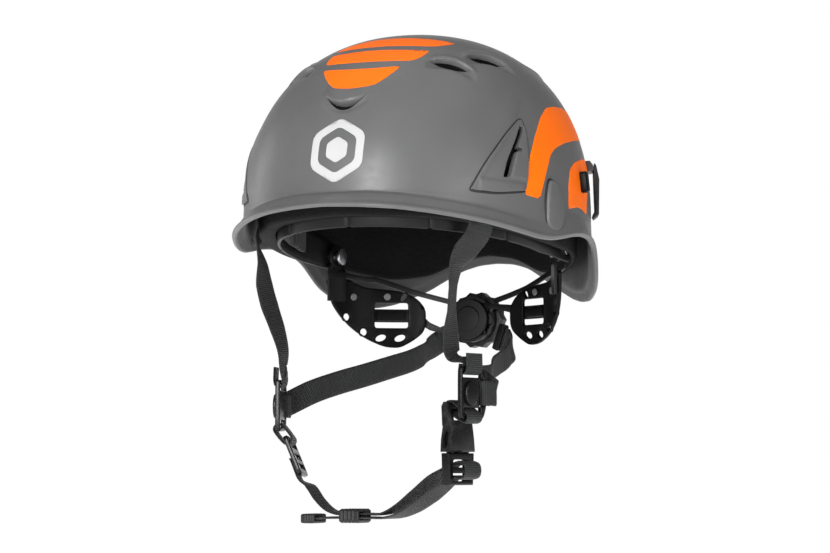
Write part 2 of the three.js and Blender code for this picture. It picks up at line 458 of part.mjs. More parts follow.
// ---------------------------------------------- racks, pinion, hub and knob
const m = PINION.module, rp = PINION.teeth * m / 2, pitch = Math.PI * m, AD = 0.75, DE = 1.15, HT = 0.6;
const TAN = Math.tan(20 * D2R);
function rackOutline(x0, x1) {
  // straight bar above the pitch line y = rp, teeth pointing down, a gap centred on x = 0
  const pts = [[x0, rp + 4.4], [x0, rp + DE]];
  const first = Math.ceil((x0 + 1.2) / pitch - 0.5), lastK = Math.floor((x1 - 1.2) / pitch - 0.5);
  for (let k = first; k <= lastK; k++) {
    const c = (k + 0.5) * pitch;
    if (c - 1.2 < x0 || c + 1.2 > 16) continue;
    pts.push([c - HT - DE * TAN, rp + DE], [c - HT + AD * TAN, rp - AD], [c + HT - AD * TAN, rp - AD], [c + HT + DE * TAN, rp + DE]);
  }
  pts.push([x1, rp + DE], [x1, rp + 4.4]);
  return pts.reverse();
}
function rackSolid(flip) {
  // left rack: above the pinion; the right one is the same turned half a turn about Y
  const straight = plate(rackOutline(-10.5, 19), 2, V(0, HUB.y, HUB.z), X, Z);
  // bent tail that laps the outside of the cup and ends in its window
  const secs = [[V(18.6, HUB.y - 1, HUB.z + rp + DE + .02), V(18.6, HUB.y + 1, HUB.z + rp + DE + .02), V(18.6, HUB.y + 1, HUB.z + rp + 4.4), V(18.6, HUB.y - 1, HUB.z + rp + 4.4)]];
  for (const [d, w] of [[19, .35], [23, .8], [27, 1], [31, 1], [35, 1], [39, 1], [43, 1], [46.5, 1]]) {
    const zl = THREE.MathUtils.lerp(HUB.z + rp + DE, -58.5, w), zh = THREE.MathUtils.lerp(HUB.z + rp + 4.4, -50, w);
    secs.push([cradleAt(d, 2.8, zl), cradleAt(d, 4.8, zl), cradleAt(d, 4.8, zh), cradleAt(d, 2.8, zh)]);
  }
  return straight.add(solid(loft(secs)));
}
function rackLow() {
  const out = rackOutline(-10.5, 19).map(p => [p[0], -p[1]]).reverse();
  const straight = plate(out, 2, V(0, HUB.y, HUB.z), X, Z);
  const z0 = HUB.z - rp - 4.4, z1 = HUB.z - rp - DE - .02;
  const secs = [[V(18.6, HUB.y - 1, z0), V(18.6, HUB.y + 1, z0), V(18.6, HUB.y + 1, z1), V(18.6, HUB.y - 1, z1)]];
  for (const [d, w] of [[19, .35], [23, .8], [27, 1], [31, 1], [35, 1], [39, 1], [43, 1], [46.5, 1]]) {
    const zl = THREE.MathUtils.lerp(z0, -58.5, w), zh = THREE.MathUtils.lerp(z1, -50, w);
    secs.push([cradleAt(d, 2.8, zl), cradleAt(d, 4.8, zl), cradleAt(d, 4.8, zh), cradleAt(d, 2.8, zh)]);
  }
  return straight.add(solid(loft(secs)));
}
add("rack_left", rackSolid(false), "black");
add("rack_right", mirrorX(geometry(rackLow())), "black");
// clips that stand in the cup windows
{
  const [u0] = uv(43, 0), [u1] = uv(30, 0);
  const clip = slab(25, 48, 8, 0.2, 2.45, -58, -50.6).intersect(cupPrism(rounded(Math.min(u0, u1), -57.6, Math.max(u0, u1), -51, 1.2, 2)));
  addPair("cup_clip", geometry(clip), "black");
}
{
  const pts = [];
  for (let k = 0; k < PINION.teeth; k++) {
    const c = 90 + k * 36, w = (r, half) => half / r / D2R;
    for (const [r, h] of [[rp - DE, 1.05], [rp, 0.58], [rp + AD, 0.22]]) pts.push([c - w(r, h), r]);
    for (const [r, h] of [[rp + AD, 0.22], [rp, 0.58], [rp - DE, 1.05]]) pts.push([c + w(r, h), r]);
  }
  const poly = pts.map(([a, r]) => [r * Math.cos(a * D2R), r * Math.sin(a * D2R)]);
  add("pinion", plate(poly, 2, V(0, HUB.y, HUB.z), X, Z, [[[-2, -2], [2, -2], [2, 2], [-2, 2]]]), "pin");
  // housing: a round box open towards the head, with a passage on each side
  const hx = HUB.r;
  let hub = cyl(V(0, 86.7, HUB.z), Y, hx, 9.4, 24).subtract(cyl(V(0, 83.5, HUB.z), Y, hx - 2.2, 4.4, 20));
  hub = hub.subtract(box(-30, HUB.y - 2.5, HUB.z + rp - AD - .8, 30, HUB.y + 1.5, HUB.z + rp + 5.0));
  hub = hub.subtract(box(-30, HUB.y - 2.5, HUB.z - rp - 5.0, 30, HUB.y + 1.5, HUB.z - rp + AD + .8));
  hub = hub.subtract(cyl(V(0, 88, HUB.z), Y, 3.3, 12, 20));
  add("hub_housing", hub, "black");
  add("hub_cover", cyl(V(0, 79.9, HUB.z), Y, 13, 2.2, 24).add(cyl(V(0, 78.4, HUB.z), Y, 8, 1.2, 16)), "black");
  // clamps on the housing's flanks hold the ends of the nape straps
  {
    const e = V(16.4, 89.7, -68), t = e.clone().sub(V(20.4, 88.6, -69.7)).normalize(), w = V(-.38, .1, .92);
    w.addScaledVector(t, -w.dot(t)).normalize();
    const o = e.clone().addScaledVector(t, -2.6);
    addPair("strap_clamp", geometry(plate(rounded(-2.3, -8.7, 2.9, 8.7, 0.8, 1), 4.1, o, t, w).subtract(plate([[-9, -7.8], [3, -7.8], [3, 7.8], [-9, 7.8]], WEB_T + 1.1, o, t, w).subtract(plate([[2.6, -9], [9, -9], [9, 9], [2.6, 9]], 9, o, t, w)))), "black");
  }
  // knob with finger ribs, its shaft and square end
  const ribs = [];
  for (let k = 0; k < 28; k++) { const a = k * 360 / 28 * D2R, r = k % 2 ? 16.8 : 18.4; ribs.push([r * Math.cos(a), r * Math.sin(a)]); }
  const knob = plate(ribs, 9, V(0, 96.3, HUB.z), X, Z).add(cyl(V(0, 89, HUB.z), Y, 2.9, 8, 20)).add(box(-1.65, 82.8, HUB.z - 1.65, 1.65, 87, HUB.z + 1.65));
  add("size_knob", knob, "black");
}

// ------------------------------------------------------------ chin hardware
// buckle frame: w along the webbing's width, n outwards, z up
const BK = { o: V(50.9, -59.1, -130), w: DIV.left.w, n: DIV.left.n };
const bk = (outline, depth, n, holes = [], bevel = 0) => plate(outline, depth, at(BK, 0, 0, n), BK.w, Z, holes, bevel);
{
  let socket = bk([[-11.5, -14.2], [11.5, -14.2], [10.8, -7], [9.4, 1], [8.6, 4.2], [-8.6, 4.2], [-9.4, 1], [-11, -7]], 8.6, 0, [], 0.8);
  socket = socket.subtract(bk([[-9.4, -16], [9.4, -16], [9.4, -2.5], [7, 2], [-7, 2], [-9.4, -2.5]], 4.6, 0));
  // oval side windows
  socket = socket.subtract(plate(oval(0, -7, 2.1, 5, 12), 40, at(BK, 0, 0, 0), BK.n, Z));
  // two arms carry the strap bar above the body
  const side = s => plate([[-4, 1], [3.6, 1], [3.2, 6], [0.8, 12], [-0.2, 15], [-3, 15], [-4.6, 12.5]], 2, at(BK, s, 0, 0), BK.n, Z);
  socket = socket.add(side(-8.4)).add(side(8.4)).add(plate([[-2.9, 11], [-0.1, 11], [-0.1, 13.9], [-2.9, 13.9]], 17, at(BK, 0, 0, 0), BK.n, Z));
  add("buckle_socket", socket, "black");
  // tongue: base with the webbing bar, guide blade
  let tongue = bk([[-11, -33.5], [11, -33.5], [11.8, -14.9], [-11.8, -14.9]], 6.4, 0, [], 0.8)
    .subtract(bk(rounded(-8, -31.2, 8, -18.6, 1.5, 2), 12, 0))
    .add(bk([[-9, -26.6], [9, -26.6], [9, -23.2], [-9, -23.2]], 3.2, 0))
    .add(bk([[-2.2, -16], [2.2, -16], [2.2, -1], [1, 0.6], [-1, 0.6], [-2.2, -1]], 3.6, 0));
  tongue = tongue.subtract(bk([[-8.9, -16.5], [-5.4, -16.5], [-5.4, -13], [-8.9, -13]], 4.6, 0)).subtract(bk([[5.4, -16.5], [8.9, -16.5], [8.9, -13], [5.4, -13]], 4.6, 0));
  add("buckle_tongue", tongue, "black");
  const prong = s => bk([[s * 5.9, -16.1], [s * 8.2, -16.1], [s * 8.4, -12], [s * 8.9, -9.5], [s * 8.9, -4], [s * 7, -0.6], [s * 5.6, -1.4], [s * 6.2, -8]], 3.8, 0);
  add("prong_front", prong(-1), "black");
  add("prong_rear", prong(1), "black");
  // short strap ring joining the socket's bar to the divider's lower bar
  const cb = at(DIV.left, 0, -14.2, 0), ca = at(BK, 0, 12.45, -1.5);
  const dir = cb.clone().sub(ca), len = dir.length(); dir.normalize();
  const up = dir.clone().cross(BK.w).normalize(), ring = [];
  const rr = 3;
  for (let i = 0; i <= 6; i++) { const a = (90 + 30 * i) * D2R; ring.push(ca.clone().addScaledVector(dir, rr * Math.cos(a)).addScaledVector(up, rr * Math.sin(a))); }
  for (let i = 0; i <= 6; i++) { const a = (-90 + 30 * i) * D2R; ring.push(cb.clone().addScaledVector(dir, rr * Math.cos(a)).addScaledVector(up, rr * Math.sin(a))); }
  add("socket_strap", webbing(ring.map(p => [p.x, p.y, p.z, BK.w.x, BK.w.y, BK.w.z]), { closed: true, exact: true, width: 13.6 }), "web");
}
// ladder slider on the wearer's right
const LS = { o: V(-54.5, -60.5, -146.5), t: V(.42, 0, -.907).normalize() };
{
  const w = DIV.right.w.clone().addScaledVector(LS.t, -DIV.right.w.dot(LS.t)).normalize();
  LS.w = w; LS.n = LS.t.clone().cross(w).normalize();
  LS.up = LS.t.clone().negate();
  const slider = plate(rounded(-10.5, -12.5, 10.5, 12.5, 3, 3), 2.6, LS.o, w, LS.up, [rounded(-8, 4.6, 8, 9.4, 1, 2), rounded(-8, -9, 8, 1, 1, 2)])
    .add(plate([[-8.5, -5.3], [8.5, -5.3], [8.5, -2.9], [-8.5, -2.9]], 2.4, LS.o, w, LS.up));
  add("ladder_slider", slider, "black");
}
const lsAt = (u, n) => LS.o.clone().addScaledVector(LS.up, u).addScaledVector(LS.n, n);
{
  // slider strap: folded round the divider's lower bar and the slider's upper bar
  const R = DIV.right, c1 = at(R, 0, -14.2, 0), c2 = lsAt(10.95, 0), dir = c2.clone().sub(c1).normalize(), ring = [], rr = 3.05;
  const up = dir.clone().cross(R.w).normalize();
  for (let i = 0; i <= 6; i++) { const a = (90 + 30 * i) * D2R, p = c1.clone().addScaledVector(dir, rr * Math.cos(a)).addScaledVector(up, rr * Math.sin(a)); ring.push([p.x, p.y, p.z, R.w.x, R.w.y, R.w.z]); }
  for (let i = 0; i <= 6; i++) { const a = (-90 + 30 * i) * D2R, p = c2.clone().addScaledVector(dir, rr * Math.cos(a)).addScaledVector(up, rr * Math.sin(a)); ring.push([p.x, p.y, p.z, LS.w.x, LS.w.y, LS.w.z]); }
  add("slider_strap", webbing(ring, { closed: true, exact: true, width: 14 }), "web");
}
// chin strap: slider, round under the chin, through the keeper, over the tongue's bar and back
{
  const P = (x, y, z, w) => [x, y, z, ...w], wy = [0, 1, 0];
  const bar = at(BK, 0, -24.9, 0), n = BK.n, bw = [BK.w.x, BK.w.y, BK.w.z];
  const B = (a, z) => { const p = bar.clone().addScaledVector(n, a).addScaledVector(Z, z); return [p.x, p.y, p.z, ...bw]; };
  const s = (u, k) => { const p = lsAt(u, k); return [p.x, p.y, p.z, LS.w.x, LS.w.y, LS.w.z]; };
  const route = [s(-1, -2.7), s(-3.6, -2.55), s(-6, -2.6), s(-10, -2.7), s(-15, -2.3), P(-44.5, -60, -164.5, wy), P(-38.5, -60, -172.2, wy), P(-31.5, -60, -178.2, wy), P(-25, -60, -180.4, wy), P(-18, -60, -180.6, wy), P(-6, -60, -180.6, wy),
    P(4, -60, -180.4, wy), P(14, -60, -176.8, [.1, .98, -.15]), P(24, -59.4, -169.6, [.2, .95, -.2]), P(35, -58.2, -160.6, [.25, .95, -.2]), B(-7.5, 0.2), B(-3.4, 3.4), B(0, 3.7), B(6.5, 4.9), B(10.4, 3.6), B(11.6, 0),
    B(10.4, -3.6), B(6.5, -4.7), B(0, -3.7), B(-3.6, -4.2), B(-8, -8.2), P(35, -58.4, -169.4, [.25, .95, -.25]), P(24, -59.4, -176.8, [.2, .95, -.2]), P(14, -60, -181.3, [.1, .98, -.1]), P(5, -60, -182.7, wy), P(-6, -60, -182.8, wy),
    P(-18, -60, -182.8, wy), P(-30, -60, -183, wy), P(-40, -60, -183.4, wy), P(-46, -60, -183.6, wy)];
  add("chin_strap", webbing(route, { steps: 66 }), "web");
  // rolled tail end, and the rubber keeper round both layers
  const keeper = plate(rounded(-9.6, -4.2, 9.6, 4.2, 2, 3), 13, V(-15, -60, -181.7), Y, Z, [rounded(-7.8, -2.4, 7.8, 2.4, 0.6, 2)]);
  add("strap_keeper", keeper, "rubber");
  const clip = plate(rounded(-8.6, -2.9, 8.6, 2.9, 1.4, 2), 9, V(-42.5, -60, -183.45), Y, Z, [rounded(-7.7, -1.3, 7.7, 1.3, 0.3, 1)]);
  add("tail_clip", clip, "rubber");
}

export default group;
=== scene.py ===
# Climbing helmet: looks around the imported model. Lengths below are millimetres until make() turns them into metres.
import bpy, bmesh, json
import numpy as np
from math import pi, radians, sin, cos, exp, hypot
from mathutils import Vector, Matrix
from mathutils.geometry import delaunay_2d_cdt

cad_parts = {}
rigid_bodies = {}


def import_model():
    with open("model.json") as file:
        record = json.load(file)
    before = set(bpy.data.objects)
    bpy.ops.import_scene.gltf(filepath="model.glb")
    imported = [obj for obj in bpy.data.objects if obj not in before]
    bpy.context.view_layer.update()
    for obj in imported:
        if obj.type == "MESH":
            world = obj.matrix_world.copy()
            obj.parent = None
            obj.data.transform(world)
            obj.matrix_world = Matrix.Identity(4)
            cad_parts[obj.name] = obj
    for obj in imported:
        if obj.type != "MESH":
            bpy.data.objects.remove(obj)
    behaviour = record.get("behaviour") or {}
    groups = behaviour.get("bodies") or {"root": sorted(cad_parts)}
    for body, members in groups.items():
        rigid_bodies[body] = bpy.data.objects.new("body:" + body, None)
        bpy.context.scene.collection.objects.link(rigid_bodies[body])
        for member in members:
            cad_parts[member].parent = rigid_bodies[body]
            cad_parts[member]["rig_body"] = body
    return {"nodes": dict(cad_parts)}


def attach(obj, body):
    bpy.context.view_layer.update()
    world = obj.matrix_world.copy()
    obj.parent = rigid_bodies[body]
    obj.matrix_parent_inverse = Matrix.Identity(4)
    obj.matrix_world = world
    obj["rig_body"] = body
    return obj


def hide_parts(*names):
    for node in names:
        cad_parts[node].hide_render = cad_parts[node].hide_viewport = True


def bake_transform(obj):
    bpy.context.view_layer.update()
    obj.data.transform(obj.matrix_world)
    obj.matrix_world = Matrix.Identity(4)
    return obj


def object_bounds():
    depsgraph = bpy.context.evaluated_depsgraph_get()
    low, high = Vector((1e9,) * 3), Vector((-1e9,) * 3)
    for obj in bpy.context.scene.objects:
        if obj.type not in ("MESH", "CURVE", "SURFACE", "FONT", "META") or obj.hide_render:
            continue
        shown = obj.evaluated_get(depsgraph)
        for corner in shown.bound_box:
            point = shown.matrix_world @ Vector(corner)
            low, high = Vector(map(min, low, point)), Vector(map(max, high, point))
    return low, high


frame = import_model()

CAD_BOX = [[float(x) for x in v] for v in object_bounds()]
scene = bpy.context.scene
Z = np.array([0., 0., 1.])
unit = lambda v: np.asarray(v, float) / np.linalg.norm(v)

# ------------------------------------------------------------------- camera
view = Vector((0.4022, -0.9097, -0.1034)).normalized()
cam_data = bpy.data.cameras.new("camera")
cam_data.sensor_width = 36.0
cam_data.lens = 104.62
cam_data.shift_x = -0.00477
cam_data.shift_y = -0.06812
cam_data.clip_start, cam_data.clip_end = 0.05, 60
camera = bpy.data.objects.new("camera", cam_data)
scene.collection.objects.link(camera)
camera.matrix_world = Matrix.Translation(view * 1.5) @ view.to_track_quat("Z", "Y").to_matrix().to_4x4()
scene.camera = camera
scene.view_settings.view_transform = "Standard"

# ---------------------------------------------------------------- materials
class Nodes:
    def __init__(self, name):
        self.m = bpy.data.materials.new(name)
        self.m.use_nodes = True
        self.t = self.m.node_tree
        self.t.nodes.clear()
        self.out = self.t.nodes.new("ShaderNodeOutputMaterial")
        self.bsdf = self.t.nodes.new("ShaderNodeBsdfPrincipled")
        self.t.links.new(self.bsdf.outputs[0], self.out.inputs[0])
        self.pos = self.t.nodes.new("ShaderNodeTexCoord").outputs["Object"]

    def link(self, a, b):
        if hasattr(a, "links") or hasattr(a, "is_output"):
            self.t.links.new(a, b)
        else:
            b.default_value = a
        return self

    def node(self, kind, **kw):
        n = self.t.nodes.new(kind)
        for k, v in kw.items():
            setattr(n, k, v)
        return n

    def noise(self, scale, detail=3.0, rough=0.55, vec=None):
        n = self.node("ShaderNodeTexNoise")
        n.inputs["Scale"].default_value, n.inputs["Detail"].default_value, n.inputs["Roughness"].default_value = scale, detail, rough
        self.link(vec or self.pos, n.inputs["Vector"])
        return n.outputs["Fac"]

    def voronoi(self, scale, vec=None, feature="F1", out="Distance"):
        n = self.node("ShaderNodeTexVoronoi", feature=feature)
        n.inputs["Scale"].default_value = scale
        self.link(vec or self.pos, n.inputs["Vector"])
        return n.outputs[out]

    def math(self, op, a, b=0.0, c=None, clamp=False):
        n = self.node("ShaderNodeMath", operation=op, use_clamp=clamp)
        self.link(a, n.inputs[0]); self.link(b, n.inputs[1])
        if c is not None:
            self.link(c, n.inputs[2])
        return n.outputs[0]

    def span(self, x, a, b, c, d):
        n = self.node("ShaderNodeMapRange")
        self.link(x, n.inputs[0])
        for i, v in enumerate((a, b, c, d)):
            n.inputs[i + 1].default_value = v
        return n.outputs[0]

    def mix(self, fac, a, b):
        n = self.node("ShaderNodeMix", data_type="RGBA")
        self.link(fac, n.inputs[0])
        for v, i in ((a, 6), (b, 7)):
            if isinstance(v, (tuple, list)):
                n.inputs[i].default_value = (*v, 1.0)
            else:
                self.link(v, n.inputs[i])
        return n.outputs[2]

    def bump(self, height, dist, strength=1.0, normal=None):
        n = self.node("ShaderNodeBump")
        n.inputs["Strength"].default_value = strength
        n.inputs["Distance"].default_value = dist
        self.link(height, n.inputs["Height"])
        if normal is not None:
            self.link(normal, n.inputs["Normal"])
        return n.outputs[0]

    def done(self, color, rough, normal=None, **consts):
        self.link(color, self.bsdf.inputs["Base Color"])
        self.link(rough, self.bsdf.inputs["Roughness"])
        if normal is not None:
            self.link(normal, self.bsdf.inputs["Normal"])
        for k, v in consts.items():
            self.bsdf.inputs[k.replace("_", " ")].default_value = v
        return self.m


def plastic(name, base, rough, grain=1600.0, depth=0.00003, spec=0.45, vary=0.12, coat=0.0):
    n = Nodes(name)
    blotch = n.noise(38.0, 4.0)
    fine = n.noise(grain, 2.0)
    wear = n.noise(260.0, 5.0, 0.65)
    lo, hi = [c * (1 - vary) for c in base], [min(1, c * (1 + vary)) for c in base]
    col = n.mix(n.span(blotch, 0.35, 0.65, 0.0, 1.0), lo, hi)
    point = n.node("ShaderNodeNewGeometry").outputs["Pointiness"]
    edge = n.math("MULTIPLY", n.span(point, 0.56, 0.68, 0.0, 1.0), n.span(wear, 0.4, 0.6, 0.25, 0.8), clamp=True)
    col = n.mix(edge, col, [min(1, c * 1.7 + 0.012) for c in base])
    r = n.math("ADD", n.span(wear, 0.3, 0.7, rough - 0.045, rough + 0.05), n.span(fine, 0.3, 0.7, -0.02, 0.02), clamp=True)
    nor = n.bump(fine, depth, 0.8, n.bump(wear, depth * 1.3, 0.35))
    return n.done(col, r, nor, Specular_IOR_Level=spec, Coat_Weight=coat, Coat_Roughness=0.35)


def film(name, base, rough):
    n = Nodes(name)
    dots = n.noise(2100.0, 2.0)
    soft = n.noise(60.0, 3.0)
    col = n.mix(n.span(soft, 0.3, 0.7, 0.0, 1.0), [c * 0.94 for c in base], base)
    r = n.span(dots, 0.3, 0.7, rough - 0.03, rough + 0.04)
    return n.done(col, r, n.bump(dots, 0.00002, 0.6), Specular_IOR_Level=0.14)


def foam(name, base):
    n = Nodes(name)
    cell = n.voronoi(420.0, feature="DISTANCE_TO_EDGE")
    f = n.noise(900.0, 3.0)
    # cell edges, where the bump dips, painted darker: painted shade in the grooves between beads
    col = n.mix(n.span(cell, 0.0, 0.12, 0.0, 1.0), [c * 0.55 for c in base], base)
    col = n.mix(n.span(n.noise(30.0), 0.35, 0.7, 0.0, 0.5), col, [c * 1.5 for c in base])
    nor = n.bump(n.span(cell, 0.0, 0.2, 0.0, 1.0), 0.00022, 0.75, n.bump(f, 0.00005, 0.5))
    return n.done(col, n.span(f, 0.3, 0.7, 0.66, 0.82), nor, Specular_IOR_Level=0.12)


def ribbed(name, base, rough, turn, period=1.15):
    """Moulded plastic with fine slanting ribs, for the cups. The rib crests are painted lighter and the grooves darker:
    painted highlight and painted shade.
    """
    n = Nodes(name)
    m = n.node("ShaderNodeMapping")
    m.inputs["Rotation"].default_value = turn
    m.inputs["Scale"].default_value = (1, 1, 1)
    n.link(n.pos, m.inputs["Vector"])
    w = n.node("ShaderNodeTexWave", wave_type="BANDS", bands_direction="Z", wave_profile="SIN")
    w.inputs["Scale"].default_value = 1000.0 * pi / 10.0 / period
    w.inputs["Distortion"].default_value = 0.0
    n.link(m.outputs[0], w.inputs["Vector"])
    fine = n.noise(1500.0, 2.0)
    # colour follows the rib wave: crests painted lighter, grooves darker, painted highlight and painted shade
    col = n.mix(n.span(w.outputs["Fac"], 0.2, 0.8, 0.0, 1.0), [c * 0.45 for c in base], [c * 2.2 for c in base])
    nor = n.bump(w.outputs["Fac"], 0.00025, 0.8, n.bump(fine, 0.00003, 0.6))
    return n.done(col, n.span(fine, 0.3, 0.7, rough - 0.05, rough + 0.05), nor, Specular_IOR_Level=0.08)


def woven(name, base, rib=1.15, pick=0.62):
    """Harness webbing. The UV map holds millimetres: U across, V along the strap."""
    n = Nodes(name)
    uv = n.node("ShaderNodeUVMap", uv_map="mm").outputs[0]
    sep = n.node("ShaderNodeSeparateXYZ")
    n.link(uv, sep.inputs[0])
    u, v = sep.outputs[0], sep.outputs[1]
    ribs = n.math("SINE", n.math("MULTIPLY", v, 2 * pi / rib))
    ends = n.math("SINE", n.math("MULTIPLY", u, 2 * pi / pick))
    cross = n.math("SINE", n.math("ADD", n.math("MULTIPLY", u, 2 * pi / pick), n.math("MULTIPLY", v, 2 * pi / (rib * 2))))
    fuzz = n.noise(2600.0, 3.0, 0.7)
    slub = n.noise(170.0, 4.0, 0.6)
    h = n.math("ADD", n.math("MULTIPLY", ribs, 0.45), n.math("ADD", n.math("MULTIPLY", ends, 0.18), n.math("MULTIPLY", cross, 0.2)))
    h = n.math("ADD", h, n.math("MULTIPLY", fuzz, 0.5))
    # colour follows the weave's height: raised yarn painted lighter and hollows darker, painted highlight and painted
    # shade
    painted_weave_shade = n.span(h, -0.7, 1.1, 0.0, 1.0)
    col = n.mix(painted_weave_shade, [c * 0.3 for c in base], [min(1, c * 2.0) for c in base])
    col = n.mix(n.span(slub, 0.35, 0.7, 0.0, 0.45), col, [c * 0.75 for c in base])
    return n.done(col, n.span(fuzz, 0.3, 0.7, 0.40, 0.58), n.bump(h, 0.00018, 0.9), Specular_IOR_Level=0.3, Sheen_Weight=0.04, Sheen_Roughness=0.45)


def knit(name, base):
    n = Nodes(name)
    cell = n.voronoi(620.0)
    f = n.noise(2300.0, 3.0, 0.7)
    b = n.noise(45.0, 3.0)
    h = n.math("ADD", n.math("MULTIPLY", cell, -1.0), n.math("MULTIPLY", f, 0.3))
    # cell centres, raised by the bump, painted lighter and cell edges darker: painted highlight and painted shade
    col = n.mix(n.span(cell, 0.1, 0.7, 0.0, 1.0), [c * 1.5 for c in base], [c * 0.5 for c in base])
    col = n.mix(n.span(b, 0.35, 0.7, 0.0, 0.5), col, [c * 1.25 for c in base])
    return n.done(col, n.span(f, 0.3, 0.7, 0.78, 0.92), n.bump(h, 0.0003, 0.8), Specular_IOR_Level=0.12, Sheen_Weight=0.12, Sheen_Roughness=0.55)


def metal(name, base, rough):
    n = Nodes(name)
    m = n.node("ShaderNodeMapping")
    m.inputs["Scale"].default_value = (2400, 160, 160)
    n.link(n.pos, m.inputs["Vector"])
    s = n.noise(1.0, 3.0, 0.6, m.outputs[0])
    col = n.mix(n.span(s, 0.3, 0.7, 0.0, 1.0), [c * 0.85 for c in base], base)
    return n.done(col, n.span(s, 0.3, 0.7, rough - 0.06, rough + 0.08), n.bump(s, 0.00002, 0.5), Metallic=1.0)


M = {
    "shell": plastic("shell_grey", (0.094, 0.094, 0.095), 0.40, 1300.0, 0.000022, 0.42, 0.04),
    # the shell's inner face: the outer shell grey made darker, painted shade on the inside of the shell
    "shell_shaded_in": plastic("shell_inside", (0.06, 0.06, 0.061), 0.5, 1300.0, 0.00003, 0.4, 0.08),
    "black": plastic("black_plastic", (0.0035, 0.0035, 0.0039), 0.36, 1700.0, 0.00002, 0.09, 0.2),
    "band": plastic("cradle_plastic", (0.0045, 0.0045, 0.005), 0.42, 1700.0, 0.00002, 0.2, 0.2),
    "buckle": plastic("buckle_plastic", (0.004, 0.004, 0.0044), 0.25, 1900.0, 0.000015, 0.24, 0.2),
    "cup": ribbed("textured_plastic", (0.0025, 0.0025, 0.0028), 0.38, (0.0, 0.62, 0.0)),
    "cup_r": ribbed("textured_plastic_2", (0.0025, 0.0025, 0.0028), 0.38, (0.0, -0.62, 0.0)),
    "grey": plastic("grey_plastic", (0.05, 0.051, 0.054), 0.42, 1500.0, 0.00003, 0.45, 0.1),
    "stud": plastic("stud_plastic", (0.11, 0.112, 0.118), 0.38, 1500.0, 0.00002, 0.5, 0.1),
    "foam": foam("liner_foam", (0.005, 0.005, 0.0055)),
    "pad": knit("comfort_pad", (0.006, 0.006, 0.0066)),
    "web": woven("webbing", (0.0105, 0.0108, 0.0114)),
    "rubber": plastic("rubber", (0.008, 0.008, 0.0085), 0.5, 1200.0, 0.00005, 0.35, 0.2),
    "steel": metal("steel", (0.5, 0.5, 0.52), 0.32),
    "orange": film("sticker_orange", (0.97, 0.155, 0.001), 0.5),
    "silver": film("badge_silver", (0.46, 0.46, 0.46), 0.34),
    # dark plastic for the shade in the gaps round the inserts and visor bosses: painted shadow
    "seam": plastic("seam_shadow", (0.02, 0.02, 0.021), 0.6, 1500.0, 0.00003, 0.3, 0.1),
}


# -------------------------------------------------------------- mesh helpers
def finish_mesh(me, sharp=38.0, recalc=True):
    bm = bmesh.new()
    bm.from_mesh(me)
    if recalc:
        bmesh.ops.recalc_face_normals(bm, faces=bm.faces)
    lim = radians(sharp)
    for f in bm.faces:
        f.smooth = True
    for e in bm.edges:
        e.smooth = not (len(e.link_faces) == 2 and e.calc_face_angle(0.0) > lim)
    bm.to_mesh(me)
    bm.free()


def make(name, verts, faces, mats, sharp=38.0, ids=None, uv=None):
    me = bpy.data.meshes.new(name)
    me.from_pydata((np.asarray(verts, float) / 1000.0).tolist(), [], [list(map(int, f)) for f in faces])
    keys = mats if isinstance(mats, (list, tuple)) else [mats]
    for k in keys:
        me.materials.append(M[k])
    if ids is not None:
        me.polygons.foreach_set("material_index", np.asarray(ids, np.int32))
    if uv is not None:
        layer = me.uv_layers.new(name="mm")
        idx = np.zeros(len(me.loops), np.int32)
        me.loops.foreach_get("vertex_index", idx)
        layer.data.foreach_set("uv", np.asarray(uv, np.float32)[idx].ravel())
    finish_mesh(me, sharp)
    o = bpy.data.objects.new(name, me)
    scene.collection.objects.link(o)
    return o


def quads(rows, cols, close_rows=False, close_cols=True, off=0):
    r = np.arange(rows if close_rows else rows - 1)[:, None]
    c = np.arange(cols if close_cols else cols - 1)[None, :]
    a = r * cols + c; b = r * cols + (c + 1) % cols
    d = ((r + 1) % rows) * cols + c; e = ((r + 1) % rows) * cols + (c + 1) % cols
    return np.stack([a, b, e, d], -1).reshape(-1, 4) + off


def evaluated(o):
    dg = bpy.context.evaluated_depsgraph_get()
    dg.update()
    me = bpy.data.meshes.new_from_object(o.evaluated_get(dg))
    o.modifiers.clear()
    old = o.data
    o.data = me
    if old.users == 0:
        bpy.data.meshes.remove(old)
    return o


def cut(o, cutters):
    """Takes the closed cutter meshes (one object) out of o."""
    mod = o.modifiers.new("cut", "BOOLEAN")
    mod.operation, mod.object = "DIFFERENCE", cutters
    try:
        mod.solver = "MANIFOLD"
    except TypeError:
        mod.solver = "EXACT"
    n = len(o.data.vertices)
    keep = o.data.copy()
    for m in o.data.materials:
        if not len(cutters.data.materials):
            cutters.data.materials.append(m)
    evaluated(o)
    if len(o.data.vertices) in (0, n):
        o.data = keep
        mod = o.modifiers.new("cut", "BOOLEAN")
        mod.operation, mod.object, mod.solver = "DIFFERENCE", cutters, "EXACT"
        evaluated(o)
    return o


def chaikin(loop, times=2, r=0.25):
    p = np.asarray(loop, float)
    for _ in range(times):
        q = np.roll(p, -1, 0)
        p = np.stack([p * (1 - r) + q * r, p * r + q * (1 - r)], 1).reshape(-1, 2)
    return p


def fine(loop, step):
    out, p = [], np.asarray(loop, float)
    for a, b in zip(p, np.roll(p, -1, 0)):
        k = max(1, int(np.ceil(np.linalg.norm(b - a) / step)))
        out += [a + (b - a) * i / k for i in range(k)]
    return np.array(out)


def area2(p):
    x, y = p[:, 0], p[:, 1]
    return 0.5 * np.sum(x * np.roll(y, -1) - np.roll(x, -1) * y)


